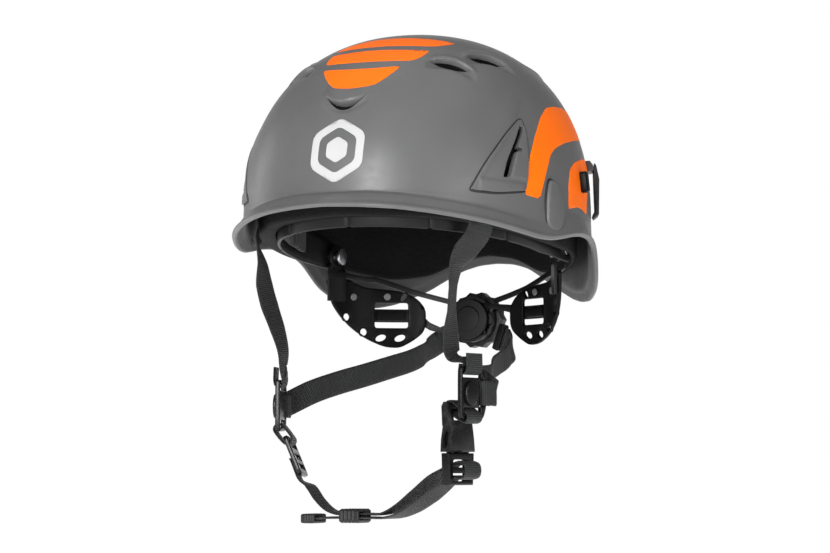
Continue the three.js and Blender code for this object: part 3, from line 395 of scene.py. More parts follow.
def inset(p, d):
    e = np.roll(p, -1, 0) - p
    e /= np.linalg.norm(e, axis=1, keepdims=True) + 1e-12
    n = np.stack([e[:, 1], -e[:, 0]], 1)
    s = n + np.roll(n, 1, 0)
    s /= np.linalg.norm(s, axis=1, keepdims=True) + 1e-12
    k = np.clip((s * n).sum(1), 0.6, 1)
    return p - s * (d / k)[:, None] if np.ndim(d) else p - s * d / k[:, None]


def inside(pts, loops):
    res = np.zeros(len(pts), bool)
    x, y = pts[:, 0][:, None], pts[:, 1][:, None]
    for l in loops:
        a, b = l, np.roll(l, -1, 0)
        c = ((a[:, 1] > y) != (b[:, 1] > y)) & (x < (b[:, 0] - a[:, 0]) * (y - a[:, 1]) / (b[:, 1] - a[:, 1] + 1e-30) + a[:, 0])
        res ^= (c.sum(1) % 2).astype(bool)
    return res


def sheet(name, outer, holes, surf, lo, hi, r, grid, mats, step=1.0, sharp=38.0, top_id=None, arc=3, flip=False):
    """A plate of rounded edges over a surface. surf(xy) gives points and normals; lo and hi are heights (hi may be a function of xy)."""
    loops = []
    for i, l in enumerate([outer, *holes]):
        l = fine(l, step)
        if (area2(l) > 0) != (i == 0):
            l = l[::-1]
        loops.append(l)
    high = hi if callable(hi) else (lambda q: np.full(len(q), float(hi)))
    caps = [inset(l, r) for l in loops]
    edge = np.concatenate(caps)
    x0, y0 = edge.min(0); x1, y1 = edge.max(0)
    gx, gy = np.meshgrid(np.arange(x0 + grid * .37, x1, grid), np.arange(y0 + grid * .41, y1, grid))
    gx = gx + (np.arange(gx.shape[0]) % 2)[:, None] * grid * 0.5
    g = np.stack([gx.ravel(), gy.ravel()], 1)
    if len(g):
        g = g[inside(g, caps)]
    if len(g):
        from mathutils.kdtree import KDTree
        kd = KDTree(len(edge))
        for i, p in enumerate(edge):
            kd.insert((p[0], p[1], 0), i)
        kd.balance()
        g = g[np.array([kd.find((p[0], p[1], 0))[2] > 0.55 * min(grid, max(step, .3)) for p in g])]
    pts = np.concatenate([edge, g]) if len(g) else edge
    cons, k = [], 0
    for c in caps:
        cons += [(k + i, k + (i + 1) % len(c)) for i in range(len(c))]
        k += len(c)
    vs, _, fs, ov, _, _ = delaunay_2d_cdt([Vector(p) for p in pts], cons, [], 0, 1e-7)
    vs = np.array([tuple(v) for v in vs])
    back = {i: (o[0] if o else None) for i, o in enumerate(ov)}
    tris = []
    cen = np.array([vs[list(f)].mean(0) for f in fs])
    ok = inside(cen, caps)
    for f, q in zip(fs, ok):
        if q:
            t = [back[i] for i in f]
            if None not in t and len(set(t)) == 3:
                tris.append(t)
    n = len(pts)
    P, N = surf(pts)
    V = [P + N * high(pts)[:, None]]
    F = [list(t) for t in tris]
    ids = [0] * len(tris)
    prof = [(r * (1 - sin(a)), "hi", r * (1 - cos(a))) for a in np.linspace(0, pi / 2, arc + 1)[1:]] + \
           [(r * (1 - sin(a)), "lo", r * (1 - cos(a))) for a in np.linspace(0, pi / 2, arc + 1)[1:][::-1]]
    base, k = n, 0
    start_bottom = n
    rings = []
    for l in loops:
        top_ids = np.arange(k, k + len(l))
        prev = top_ids
        for d, side, z in prof:
            q = inset(l, d)
            Pq, Nq = surf(q)
            h = (high(inset(l, r)) - z) if side == "hi" else np.full(len(q), lo + z)
            V.append(Pq + Nq * h[:, None])
            cur = np.arange(base, base + len(l))
            base += len(l)
            for i in range(len(l)):
                j = (i + 1) % len(l)
                F.append([prev[i], cur[i], cur[j], prev[j]]); ids.append(1)
            prev = cur
        rings.append((prev, k, len(l)))
        k += len(l)
    low = P + N * lo
    V.append(low)
    for prev, k0, m in rings:
        for i in range(m):
            j = (i + 1) % m
            F.append([prev[i], base + k0 + i, base + k0 + j, prev[j]]); ids.append(1)
    F += [[base + t[2], base + t[1], base + t[0]] for t in tris]
    ids += [1] * len(tris)
    many = isinstance(mats, (list, tuple)) and len(mats) > 1
    return make(name, np.concatenate(V), F, mats, sharp, ids if many else None)


def rounded(node, key, width=0.4, seg=2, angle=33.0, body=None, sharp=45.0, name=None, ride=True):
    """A finer copy of a hard CAD piece, its edges rounded as a moulding's are."""
    src = frame["nodes"][node]
    me = src.data.copy()
    me.materials.clear()
    me.materials.append(M[key])
    bm = bmesh.new()
    bm.from_mesh(me)
    bmesh.ops.remove_doubles(bm, verts=bm.verts, dist=2e-6)
    bmesh.ops.dissolve_limit(bm, angle_limit=radians(1.2), verts=bm.verts, edges=bm.edges)
    for f in bm.faces:
        f.material_index = 0
    bm.to_mesh(me)
    bm.free()
    o = bpy.data.objects.new(name or node + "_fine", me)
    scene.collection.objects.link(o)
    if width:
        b = o.modifiers.new("edge", "BEVEL")
        b.width, b.segments, b.limit_method, b.angle_limit = width / 1000.0, seg, "ANGLE", radians(angle)
        b.use_clamp_overlap, b.profile = True, 0.6
        evaluated(o)
    finish_mesh(o.data, sharp)
    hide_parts(node)
    if ride:
        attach(o, body or src["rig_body"])
    return o


# --------------------------------------------------------------- dome surface
A, BF, BR, H, EN, EP, EQ, LEAN, PITCH = 102.3, 123.2, 128.4, 115.0, 2.1, 2.21, 2.41, 13.65, radians(2.77)
RIM = np.array([[0, -4.2], [10, -5], [20, -6.2], [30, -8.3], [40, -10.8], [50, -13.3], [60, -16.5], [68, -18.8], [74, -18.9], [80, -17], [86, -14.5], [92, -13], [98, -13.5], [103, -16], [107.5, -21],
                [111, -28], [114.5, -35], [121, -42], [130, -46.5], [138, -46], [144, -43.5], [150, -39], [156, -34], [162, -27], [168, -20.5], [174, -17], [180, -16]])
LINER_BASE = np.array([[0, -8], [40, -10], [70, -15], [95, -21], [115, -23], [140, -29], [155, -26], [168, -16], [180, -13]])
LINER_IN = np.array([[0, 20], [75, 20], [97, 12.5], [150, 12.5], [180, 15]])


def look(tab, d, smooth=0.0):
    d = np.abs((np.asarray(d, float) + 180) % 360 - 180)
    if not smooth:
        return np.interp(d, tab[:, 0], tab[:, 1])
    out = 0
    for k, w in ((-1, .2), (-.5, .2), (0, .2), (.5, .2), (1, .2)):
        out = out + w * np.interp(np.abs(d + k * smooth), tab[:, 0], tab[:, 1])
    return out


def spow(v, e):
    return np.sign(v) * np.abs(v) ** e


def dome(d, t):
    d, t = np.broadcast_arrays(np.asarray(d, float), np.asarray(t, float))
    f, th = np.radians(d), t * pi / 2
    c, s = np.cos(f), np.sin(f)
    z = H * np.abs(np.sin(th)) ** (2 / EP) * np.sign(th)
    r = np.maximum(0, np.cos(th)) ** (2 / EQ)
    b = np.where(c > 0, BF, BR)
    x = A * spow(s, 2 / EN) * r
    y = -b * spow(c, 2 / EN) * r + LEAN * (z / H) ** 2
    return np.stack([x, y * cos(PITCH) + z * sin(PITCH), -y * sin(PITCH) + z * cos(PITCH)], -1)


def dome_n(d, t):
    t0 = np.clip(t, 0.006, 0.985)
    n = np.cross(dome(np.asarray(d) + 0.4, t0) - dome(np.asarray(d) - 0.4, t0), dome(d, t0 + 0.004) - dome(d, t0 - 0.004))
    return n / np.linalg.norm(n, axis=-1, keepdims=True)


def dome_frame(d, t, off=0.0):
    n = dome_n(d, t)
    o = dome(d, t) + n * off
    up = unit(Z - n * n[2])
    return o, unit(np.cross(up, n)), up, n


def plan_at(d, off, z):
    c, s = np.cos(np.radians(d)), np.sin(np.radians(d))
    b = np.where(c > 0, BF, BR)
    x, y = A * spow(s, 2 / EN), -b * spow(c, 2 / EN)
    nx, ny = x / A ** 2, y / b ** 2
    L = np.hypot(nx, ny)
    return np.stack(np.broadcast_arrays(x + off * nx / L, y + off * ny / L, z), -1)


def drop(xy, o, ex, ey, d0, t0):
    """Points of the dome whose place along ex and ey from o is xy. Returns their direction and height parameters."""
    x, y = xy[:, 0], xy[:, 1]
    d = d0 + x / 1.8
    t = np.clip(t0 + y / 190.0, 0.002, 0.97)
    for _ in range(14):
        P = dome(d, t) - o
        ex_, ey_ = P @ ex - x, P @ ey - y
        Pd, Pt = (dome(d + 0.05, t) - o), (dome(d, t + 0.001) - o)
        a, b = (Pd @ ex - P @ ex) / 0.05, (Pt @ ex - P @ ex) / 0.001
        c, e = (Pd @ ey - P @ ey) / 0.05, (Pt @ ey - P @ ey) / 0.001
        det = a * e - b * c
        det = np.where(np.abs(det) < 1e-6, 1e-6, det)
        d = d - np.clip((e * ex_ - b * ey_) / det, -6, 6)
        t = np.clip(t - np.clip((-c * ex_ + a * ey_) / det, -.05, .05), 0.001, 0.985)
    return d, t


KD, KT = 1.75, 185.0
INSERT = [(64.2, .262), (65.4, .255), (66.2, .20), (66.3, .116), (65.4, .030), (64.4, .016), (53.3, .001), (44.2, .001), (43.3, .008), (48.9, .093), (56.9, .197), (62.6, .255)]
SLOT_PT = [(63.3, .232), (65.0, .226), (61.4, .150), (63.3, .149), (63.1, .136), (60.9, .136), (58.4, .060), (57.2, .050), (55.4, .050), (57.0, .103), (60.7, .175)]
VENTS = [(38.0, .49, 13.0, 4.2, 18.0), (57.0, .56, 15.0, 4.2, 8.0)]


def vent_frame(d, t, turn, s):
    o, right, up, n = dome_frame(s * d, t)
    a = radians(turn) * s
    ex = right * cos(a) - up * sin(a)
    return o, ex, np.cross(n, ex), n


def leaf(l, h, bulge, n=18, belly=.25):
    u = np.linspace(-1, 1, n + 1)
    top = np.stack([l * u, h * (1 - u * u) - bulge], 1)
    low = np.stack([l * u[1:-1], -h * belly * (1 - u[1:-1] ** 2) - bulge], 1)[::-1]
    return np.concatenate([top, low])


def smooth(x):
    x = np.clip(x, 0, 1)
    return x * x * (3 - 2 * x)


def relief(P, d, t):
    """Height in mm of the shell's moulded detail above the plain dome, at points P."""
    h = np.zeros(P.shape[:-1])
    for s in (-1, 1):
        for (vd, vt, l, lh, turn) in VENTS:
            o, ex, ey, n = vent_frame(vd, vt, turn, s)
            q = P - o
            x, y, w = q @ ex, q @ ey, q @ n
            near = (np.abs(w) < 20)
            u = x / (l + 3.0)
            k = np.clip(1 - u * u, 0, 1)
            arch = lh * (1 - np.clip(x / l, -1.25, 1.25) ** 2) - 1.9
            d_ = y - arch
            brow = np.where(d_ > .9, np.exp(-((d_ - .9) / 3.6) ** 2), smooth((d_ + .5) / 1.4))
            h += np.where(near, 1.5 * k ** .7 * brow, 0)
            h -= np.where(near, 3.3 * k * np.where(d_ > -4.6, 1, np.exp(-((d_ + 4.6) / 4.2) ** 2)) * smooth(-d_ / 1.2), 0)
        # long swelling behind the side vents, with a low rail along its top
        ds = (np.asarray(d) * s + 180) % 360 - 180
        end = smooth((ds - 84) / 22) * smooth((172 - ds) / 34)
        h += end * 1.1 * np.exp(-((np.asarray(t) - .60 + (ds - 95) * .0011) / .022) ** 2)
        # shallow step that frames the accessory insert
        o, right, up, n = dome_frame(s * 60, .1)
        q = P - o
        x, y = (q @ right) * s, q @ up
        near = (np.abs(q @ n) < 16)
        edge = -32 + (y + 16) * .84
        h += np.where(near, .7 * smooth((edge + 4.5 - x) / 4.0) * smooth((x - edge + 16) / 14) * smooth((y + 20) / 6) * smooth((50 - y) / 16), 0)
    # hood over the front opening
    o, right, up, n = dome_frame(0.0, .3)
    q = P - o
    x, y = q @ right, q @ up
    near = (q @ n > -14) & (P[..., 1] < 0)
    k = np.clip(1 - (x / 15.5) ** 2, 0, 1)
    d_ = y - (2.2 - 6.0 * np.clip(1 - (x / 13) ** 2, -.3, 1))
    hood = np.where(d_ > .7, np.exp(-((d_ - .7) / 9.5) ** 2), smooth((d_ + 1.0) / 1.7))
    h += np.where(near, 2.7 * k ** .8 * hood, 0)
    h -= np.where(near, 1.3 * k * np.exp(-((d_ + 4.4) / 2.2) ** 2), 0)
    return h


def shell_at(d, t, off=0.0):
    P, N = dome(d, t), dome_n(d, t)
    return P + N * (relief(P, d, t) + off)[..., None], N


# ---------------------------------------------------------------- outer shell
NC = 540
cols = np.arange(NC) * 360.0 / NC


def skirt_rows(d, off, n):
    """Rows of the skirt from the dome's foot to the rim. off is 0 outside and the wall inside."""
    base = dome(d, np.zeros_like(d))[:, 2]
    dd = np.abs((d + 180) % 360 - 180)
    rim = look(RIM, d, 1.6)
    fl = 4.2 + 9.8 * np.exp(-(dd / 42.0) ** 2)
    crease = np.minimum(base - 2, rim + 9)
    wall = off
    ff = smooth((80 - dd) / 24)
    kn = [(0, base + 1.2), (fl * .02 * (1 - ff), base - .2), (fl * .12 * (1 - ff * .9), (base * 2 + crease) / 3 - .5), (fl * (.34 - .26 * ff), crease), (fl * (.72 - .08 * ff), rim + 4), (fl, rim + (.5 if off == 0 else .2))]
    ko = np.stack([np.zeros_like(d) + k[0] for k in kn]); kz = np.stack([np.zeros_like(d) + k[1] for k in kn])
    u = np.linspace(0, len(kn) - 1, n)
    out_o, out_z = [], []
    for x in u[1:]:
        i = min(int(x), len(kn) - 2); f = x - i
        g = lambda K: (K[max(i - 1, 0)], K[i], K[i + 1], K[min(i + 2, len(kn) - 1)])
        def cr(K):
            a, b, c, e = g(K)
            return .5 * (2 * b + (c - a) * f + (2 * a - 5 * b + 4 * c - e) * f * f + (3 * b - a - 3 * c + e) * f ** 3)
        out_o.append(cr(ko)); out_z.append(cr(kz))
    O, Zs = np.array(out_o), np.array(out_z)
    if off == 0:
        fade = smooth((76 - dd) / 24)
        dz = Zs - (crease[None] - .4)
        O = O + fade[None] * (.95 * smooth(-dz / .7) * (1 - .8 * smooth((-dz - 1) / 5.0)) + .5 * np.exp(-(dz / .75) ** 2))
        lipz = (Zs - rim[None])
        O = O + .9 * np.exp(-((lipz - 1.4) / 1.0) ** 2)
    O = O + wall
    P = plan_at(np.broadcast_to(d, O.shape), O, Zs)
    P[..., 1] += P[..., 2] * sin(PITCH)
    return P


def shell_mesh():
    to = np.concatenate([np.linspace(.992, .70, 34), np.linspace(.70, .215, 110)[1:], np.linspace(.215, .03, 30)[1:]])
    rings = [shell_at(cols, np.full(NC, t))[0] for t in to]
    so = skirt_rows(cols, 0, 46)
    rings += [r for r in so]
    si = skirt_rows(cols, -3.0, 24)
    a, b = so[-1], si[-1]
    mid, half = (a + b) / 2, (a - b) / 2
    for g in np.radians([30, 60, 90, 120, 150]):
        p = mid + half * cos(g)
        p = p.copy(); p[:, 2] = mid[:, 2] + half[:, 2] * cos(g) - 1.5 * sin(g)
        rings.append(p)
    rings += [r for r in si[::-1]]
    ti = np.linspace(.05, .992, 60)
    base_in = []
    for t in ti:
        P, N = dome(cols, np.full(NC, t)), dome_n(cols, np.full(NC, t))
        base_in.append(P - N * 3.0)
    rings += base_in
    V = np.concatenate(rings)
    F = quads(len(rings), NC).tolist()
    nout = (len(to) + len(so) - 1 + 3) * NC
    # faces past the rim lip take the darker copy of the shell grey: painted shade on the inner face
    ids = [0 if i < nout else 1 for i in range(len(F))]
    top, bot = len(V), len(V) + 1
    V = np.concatenate([V, [dome(0., 1.) * [0, 1, 1], dome(0., 1.) * [0, 1, 1] - [0, 0, 3.0]]])
    F += [[top, (i + 1) % NC, i] for i in range(NC)]; ids += [0] * NC
    last = (len(rings) - 1) * NC
    F += [[bot, last + i, last + (i + 1) % NC] for i in range(NC)]; ids += [1] * NC
    return make("shell", V, F, ["shell", "shell_shaded_in"], 50, ids)


def prism(outline, o, ex, ey, n, lo, hi):
    m = len(outline)
    P = o + outline[:, :1] * ex + outline[:, 1:] * ey
    V = np.concatenate([P + n * lo, P + n * hi])
    F = [list(range(m))[::-1], list(range(m, 2 * m))] + [[i, (i + 1) % m, m + (i + 1) % m, m + i] for i in range(m)]
    return V, F


def cutter_object(name, parts):
    V, F, k = [], [], 0
    for v, f in parts:
        V.append(v); F += [[i + k for i in g] for g in f]; k += len(v)
    me = bpy.data.meshes.new(name)
    me.from_pydata((np.concatenate(V) / 1000).tolist(), [], F)
    finish_mesh(me)
    o = bpy.data.objects.new(name, me)
    scene.collection.objects.link(o)
    o.hide_render = True
    return o


def oval(cx, cy, rx, ry, n=20, turn=0.0):
    a = np.arange(n) / n * 2 * pi
    x, y = rx * np.cos(a), ry * np.sin(a)
    return np.stack([cx + x * cos(turn) - y * sin(turn), cy + x * sin(turn) + y * cos(turn)], 1)


def rrect(x0, y0, x1, y1, r, n=5):
    out = []
    for cx, cy, a0 in ((x1 - r, y1 - r, 0), (x0 + r, y1 - r, 90), (x0 + r, y0 + r, 180), (x1 - r, y0 + r, 270)):
        for i in range(n + 1):
            a = radians(a0 + 90 * i / n)
            out.append((cx + r * cos(a), cy + r * sin(a)))
    return np.array(out)


vent_parts, slot_parts = [], []
for s in (-1, 1):
    for (d, t, l, h, turn) in VENTS:
        o, ex, ey, n = vent_frame(d, t, turn, s)
        vent_parts.append(prism(leaf(l, h, 1.9, 18, .42), o, ex, ey, n, -65, 25))
    sl = fine(chaikin(np.array(SLOT_PT) * [KD, KT], 1, .12), 1.0) / [KD, KT]
    sp, sn = dome(s * sl[:, 0], sl[:, 1]), dome_n(s * sl[:, 0], sl[:, 1])
    m = len(sl)
    slot_parts.append((np.concatenate([sp - sn * 6, sp + sn * 4]), [list(range(m))[::-1], list(range(m, 2 * m))] + [[i, (i + 1) % m, m + (i + 1) % m, m + i] for i in range(m)]))
o, r, u, n = dome_frame(0.0, .3)
uu = np.linspace(-1, 1, 19)
cres = np.concatenate([np.stack([13 * uu, 2.2 - 10.3 * (1 - uu * uu) + .2], 1), np.stack([13 * uu[1:-1], 2.2 - 6.0 * (1 - uu[1:-1] ** 2) - .2], 1)[::-1]])
slot_parts.append(prism(cres, o, r, u, n, -15, 15))

shell = shell_mesh()
cutters = cutter_object("cutters", vent_parts + slot_parts)
cut(shell, cutters)
finish_mesh(shell.data, 50)
bpy.data.objects.remove(cutters)
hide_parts("outer_shell")
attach(shell, "helmet")

# --------------------------------------------------------------- foam liner
def liner_mesh():
    n = 300
    d = np.arange(n) * 360.0 / n
    rings = []
    for t in np.linspace(.985, .12, 44):
        rings.append(dome(d, np.full(n, t)) - dome_n(d, np.full(n, t)) * 3.7)
    base, thick = look(LINER_BASE, d, 3.0), look(LINER_IN, d, 3.0)
    rings.append(plan_at(d, -8.6 + 0 * d, 4 + 0 * d))
    for z, o in ((2.5, -9.3), (1.2, -9.5), (.35, -10.2), (0, -11.2)):
        rings.append(plan_at(d, o + 0 * d, base + z))
    for z, o in ((0, 1.6), (.35, .6), (1.2, .1), (2.5, 0)):
        rings.append(plan_at(d, -thick + o, base + z))
    rings.append(plan_at(d, -thick, 4 + 0 * d))
    rings.append(plan_at(d, -thick, 12 + 0 * d))
    for t in np.linspace(.31, .985, 30):
        P, N = dome(d, np.full(n, t)), dome_n(d, np.full(n, t))
        rib = 1.4 * smooth((np.cos(np.radians(d * 10)) - .2) / .5) * smooth((.9 - t) / .2)
        rings.append(P - N * (22.7 - rib)[:, None])
    V = np.concatenate(rings)
    F = quads(len(rings), n).tolist()
    a, b = len(V), len(V) + 1
    top = dome(0., 1.) * [0, 1, 1]
    V = np.concatenate([V, [top - [0, 0, 3.7], top - [0, 0, 22.7]]])
    F += [[a, (i + 1) % n, i] for i in range(n)]
    last = (len(rings) - 1) * n
    F += [[b, last + i, last + (i + 1) % n] for i in range(n)]
    return make("foam_liner", V, F, "foam", 40)


liner = liner_mesh()
wide = [prism(leaf(l + 1.5, h + 1.5, 1.9, 18, .45), *vent_frame(d, t, turn, s), -65, 25) for s in (-1, 1) for (d, t, l, h, turn) in VENTS]
cutters = cutter_object("cutters", wide)
cut(liner, cutters)
finish_mesh(liner.data, 40)
bpy.data.objects.remove(cutters)
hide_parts("impact_liner")
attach(liner, "helmet")

# ------------------------------------------------------- orange film, badge

def on_shell(q):
    P, N = shell_at(q[:, 0] / KD, np.clip(q[:, 1] / KT, .001, .985))
    return P, N


def decal(name, poly, key, holes=(), soft=2, off=.16):
    loop = np.array(poly, float) * [KD, KT]
    loop = chaikin(loop, soft, .14) if soft else loop
    o = sheet(name, loop, [np.array(h, float) for h in holes], on_shell, -.35, off, .06, 2.2, key, step=1.1, arc=1)
    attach(o, "helmet")
    return o


decal("stripe_top_3", [(-17.3, .457), (-3.2, .4425), (6.8, .4415), (17.1, .452), (15.4, .425), (12.3, .386), (8.9, .355), (6.1, .342), (.5, .337), (-5.5, .345), (-8.8, .369), (-13.2, .411)], "orange")
decal("stripe_top_2", [(-22.7, .566), (-5.6, .567), (6.5, .567), (18.7, .564), (28.4, .561), (24.8, .512), (21.2, .487), (9.6, .484), (-3.2, .485), (-19.2, .493), (-21.6, .528)], "orange")
decal("stripe_top_1", [(-27.1, .606), (-21.6, .65), (-10.0, .693), (8.3, .70), (24.4, .692), (36.7, .672), (43.0, .650), (30.7, .603), (17.9, .602), (1.9, .603), (-15.1, .602)], "orange")
side_1 = [(63.7, .012), (66.2, .119), (70.2, .209), (75.0, .287), (80.5, .340), (88, .366), (97, .385), (107, .392), (118, .375), (130, .335), (142, .285), (131, .282), (118, .283), (106, .272), (96, .246), (87, .214), (80.2, .180), (76.9, .150), (73.4, .074), (70.8, .008)]
side_2 = [(86.4, .004), (86.8, .07), (88.7, .127), (92.5, .158), (100, .186), (110, .205), (122, .213), (136, .205), (150, .18), (138, .150), (124, .135), (110.5, .118), (104.5, .090), (102.2, .05), (101.5, .010), (96.5, .018), (92.7, .018), (89.5, .010)]
for s, k in ((1, "left"), (-1, "right")):
    decal("stripe_side_1_" + k, [(s * a, b) for a, b in side_1], "orange", soft=1)
    decal("stripe_side_2_" + k, [(s * a, b) for a, b in side_2], "orange", soft=1)
# plain badge: a six-sided ring round a small solid hexagon
o0, r0, u0, n0 = dome_frame(.4, .112)


def on_front(q):
    d, t = drop(q, o0, r0, u0, .4, .112)
    return shell_at(d, t)


hexa = lambda r, w=1.0: np.array([(w * r * cos(a), r * sin(a)) for a in np.radians(np.arange(6) * 60 + 30)])
badge = sheet("badge_ring", chaikin(hexa(20.5, .93), 3, .12), [chaikin(hexa(14.6, .93), 3, .12)], on_front, -.3, .15, .05, 2.0, "silver", step=1.0, arc=1)
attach(badge, "helmet")
badge2 = sheet("badge_middle", chaikin(hexa(8.2, .93), 3, .12), [], on_front, -.3, .15, .05, 2.0, "silver", step=1.0, arc=1)
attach(badge2, "helmet")

# -------------------------------------------------------- accessory inserts
for s, k in ((1, "left"), (-1, "right")):
    def on_side(q, s=s):
        d, t = s * q[:, 0] / KD, np.clip(q[:, 1] / KT, .0005, .985)
        P, N = shell_at(d, t)
        low = np.minimum(q[:, 1] / KT, 0) * 180
        return P + Z * low[:, None], N

    tri = chaikin(np.array(INSERT) * [KD, KT], 2, .16)
    ins = fine(tri, 1.0)
    ins = ins if area2(ins) > 0 else ins[::-1]
    slot_in = chaikin(np.array(SLOT_PT) * [KD, KT], 1, .12)

    def tall(q):
        x, y = q[:, 0] / KD, q[:, 1] / KT
        lower = smooth((.040 - y) / .005) * smooth((x - 46.2) / 1.2) * smooth((64.3 - x) / 1.0)
        right = smooth((x - 58.2 - (y - .05) * 32) / .5) * smooth((.24 - y) / .02) * smooth((y - .050) / .006)
        return .55 + .75 * lower + .45 * right

    plate = sheet("insert_plate_" + k, inset(ins, .95), [slot_in], on_side, -.8, tall, .35, .8, "shell", step=.7, arc=3)
    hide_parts("accessory_socket_" + k)
    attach(plate, "helmet")
    # a dark ring under the plate's edge: painted shadow in the gap between insert and shell
    gap_shadow_ring = sheet("insert_gap_shadow_" + k, ins, [inset(ins, 1.1)], on_side, -.6, .12, .05, 3.0, "seam", step=.8, arc=2)
    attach(gap_shadow_ring, "helmet")

    ob, rb, ub, nb = dome_frame(s * 79.0, .03)
    leaf_out = np.array([[-8.5, -13], [-4, -17], [2.5, -15.5], [8, -4.5], [6.8, 6], [1, 14.5], [-4.5, 15.5], [-7.5, 5]]) * [s * 1.25, .96]

    def on_boss(q, ob=ob, rb=rb, ub=ub, nb=nb, s=s):
        y = q[:, 1] - 6.5
        return ob + (q[:, :1] - s * 3.0) * rb + y[:, None] * ub - nb * (q[:, :1] ** 2 / 260.0 + np.maximum(y[:, None], 0) ** 2 / 190.0), np.broadcast_to(nb, (len(q), 3))

    boss = sheet("visor_boss_%s_fine" % k, chaikin(leaf_out, 3, .22), [], on_boss, -3.0, lambda q: 3.3 - (q[:, 0] / 8.5) ** 2 * .7 - ((q[:, 1] + 1) / 17) ** 2 * .9, 1.3, 1.6, "shell", step=.9, arc=5)
    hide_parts("visor_boss_" + k)
    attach(boss, "helmet")
    # a slightly larger dark plate under the boss whose rim shows round it: painted shadow line in the gap
    boss_gap_shadow = sheet("visor_boss_%s_gap" % k, chaikin(leaf_out * 1.09, 3, .22), [], on_boss, -3.2, .75, .1, 3.0, "seam", step=1.2, arc=1)
    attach(boss_gap_shadow, "helmet")

# --------------------------------------------- hard pieces kept from the CAD
for k in ("left", "right"):
    rounded("side_catch_" + k, "black", .5)
    rounded("lamp_clip_base_" + k, "grey", .6)
    clip = rounded("lamp_clip_" + k, "rubber", .6)
    ho, hr, hu, hn = dome_frame(117.0 * (1 if k == "left" else -1), .1)
    hinge, tuck = Vector((ho + 4.4 * hn + 17.4 * hu) / 1000), Matrix.Rotation(radians(6), 3, Vector(hr))
    for v in clip.data.vertices:
        v.co = hinge + tuck @ (v.co - hinge)
    rounded("strap_anchor_" + k, "band", .4)
    rounded("upper_band_" + k, "band", .3)
    rounded("pivot_pin_" + k, "steel", .3)
    rounded("rack_" + k, "band", .22)
    rounded("cup_clip_" + k, "black", .35)
    rounded("strap_clamp_" + k, "band", .4)
    rounded("cup_stud_1_" + k, "stud", .35, 3)
    rounded("cup_stud_2_" + k, "stud", .35, 3)
rounded("hub_housing", "band", .5)
rounded("hub_cover", "band", .6, 3)
rounded("size_knob", "band", .5, 2)
rounded("pinion", "steel", .1)
rounded("buckle_socket", "buckle", 1.0, 3)
rounded("buckle_tongue", "buckle", .9, 3)
rounded("prong_front", "buckle", .3)
rounded("prong_rear", "buckle", .3)
for k in ("left", "right"):
    arm = rounded("cradle_arm_" + k, "band", .35, ride=False)
    s = 1 if k == "left" else -1
    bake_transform(arm)

# --------------------------------------------------------------- head band
def band_mesh():
    secs = []
    def sec(po, pi_, z0, z1, groove=0.0):
        po, pi_ = np.array(po, float), np.array(pi_, float)
        n = unit(np.array([*(po - pi_)[:2], 0]))
        w = np.linalg.norm(po - pi_)
        pts = []
        r = .8
        prof = [(w, z0 + r), (w, z1 - r), (w - .3, z1 - .3), (w - r, z1), (r, z1), (.3, z1 - .3), (0, z1 - r)]
        zs = np.linspace(z1 - r, z0 + r, 9)[1:-1]
        prof += [(0, z) for z in zs] + [(0, z0 + r), (.3, z0 + .3), (r, z0), (w - r, z0), (w - .3, z0 + .3)]
        for a, z in prof:
            pts.append(pi_ * [1, 1, 0] + n * a + Z * z)
        return pts
    for i in range(181):
        d = -90 + i; k = abs(d) / 90; zc = -2.5 - 9.5 * k * k
        g = sum(np.exp(-((d - c) / .55) ** 2) for c in (-68, -34, 0, 34, 68))
        secs.append(sec(plan_at(float(d), -20.8 - .8 * g, 0.), plan_at(float(d), -22.8, 0.), zc - 11.5 + .7 * g, zc + 11))
    for s in (-1, 1):
        ends = []
        for y, zc, h in zip(np.linspace(5, 48, 14), np.interp(np.linspace(5, 48, 14), [0, 14, 28, 48], [-12.1, -13.5, -15.3, -17]), np.interp(np.linspace(5, 48, 14), [0, 14, 28, 48], [11.2, 10.5, 9.5, 8.5])):
            xo = 82.2 - .35 * y / 48 if y > 13 else np.interp(y, [0, 13], [81.5, 82.1])
            ends.append(sec((s * xo, y, 0), (s * (xo - 2), y, 0), zc - h, zc + h))
        secs = ends[::-1] + secs if s < 0 else secs + ends
    m = len(secs[0])
    V = np.array(secs).reshape(-1, 3)
    F = quads(len(secs), m).tolist() + [list(range(m))[::-1], list(range((len(secs) - 1) * m, len(secs) * m))]
    return make("head_band", V, F, "band", 60)


band = band_mesh()
holes = cutter_object("cutters", [prism(oval(0, 0, 3.4, 3.4, 32), np.array([s * 80., 41., -17.]), np.array([0, 1., 0]), Z, np.array([1., 0, 0]), -7, 7) for s in (-1, 1)])
cut(band, holes)
finish_mesh(band.data, 40)
bpy.data.objects.remove(holes)
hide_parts("headband")
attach(band, "helmet")

# ------------------------------------------------------------------ cradle
CA, CB, CY = 84.0, 72.0, 10.0


def cradle_at(d, off, z):
    s, c = np.sin(np.radians(d)), np.cos(np.radians(d))
    x, y = CA * s, CB * c
    nx, ny = x / CA ** 2, y / CB ** 2
    L = np.hypot(nx, ny)
    return np.stack(np.broadcast_arrays(x + off * nx / L, CY + y + off * ny / L, z), -1)


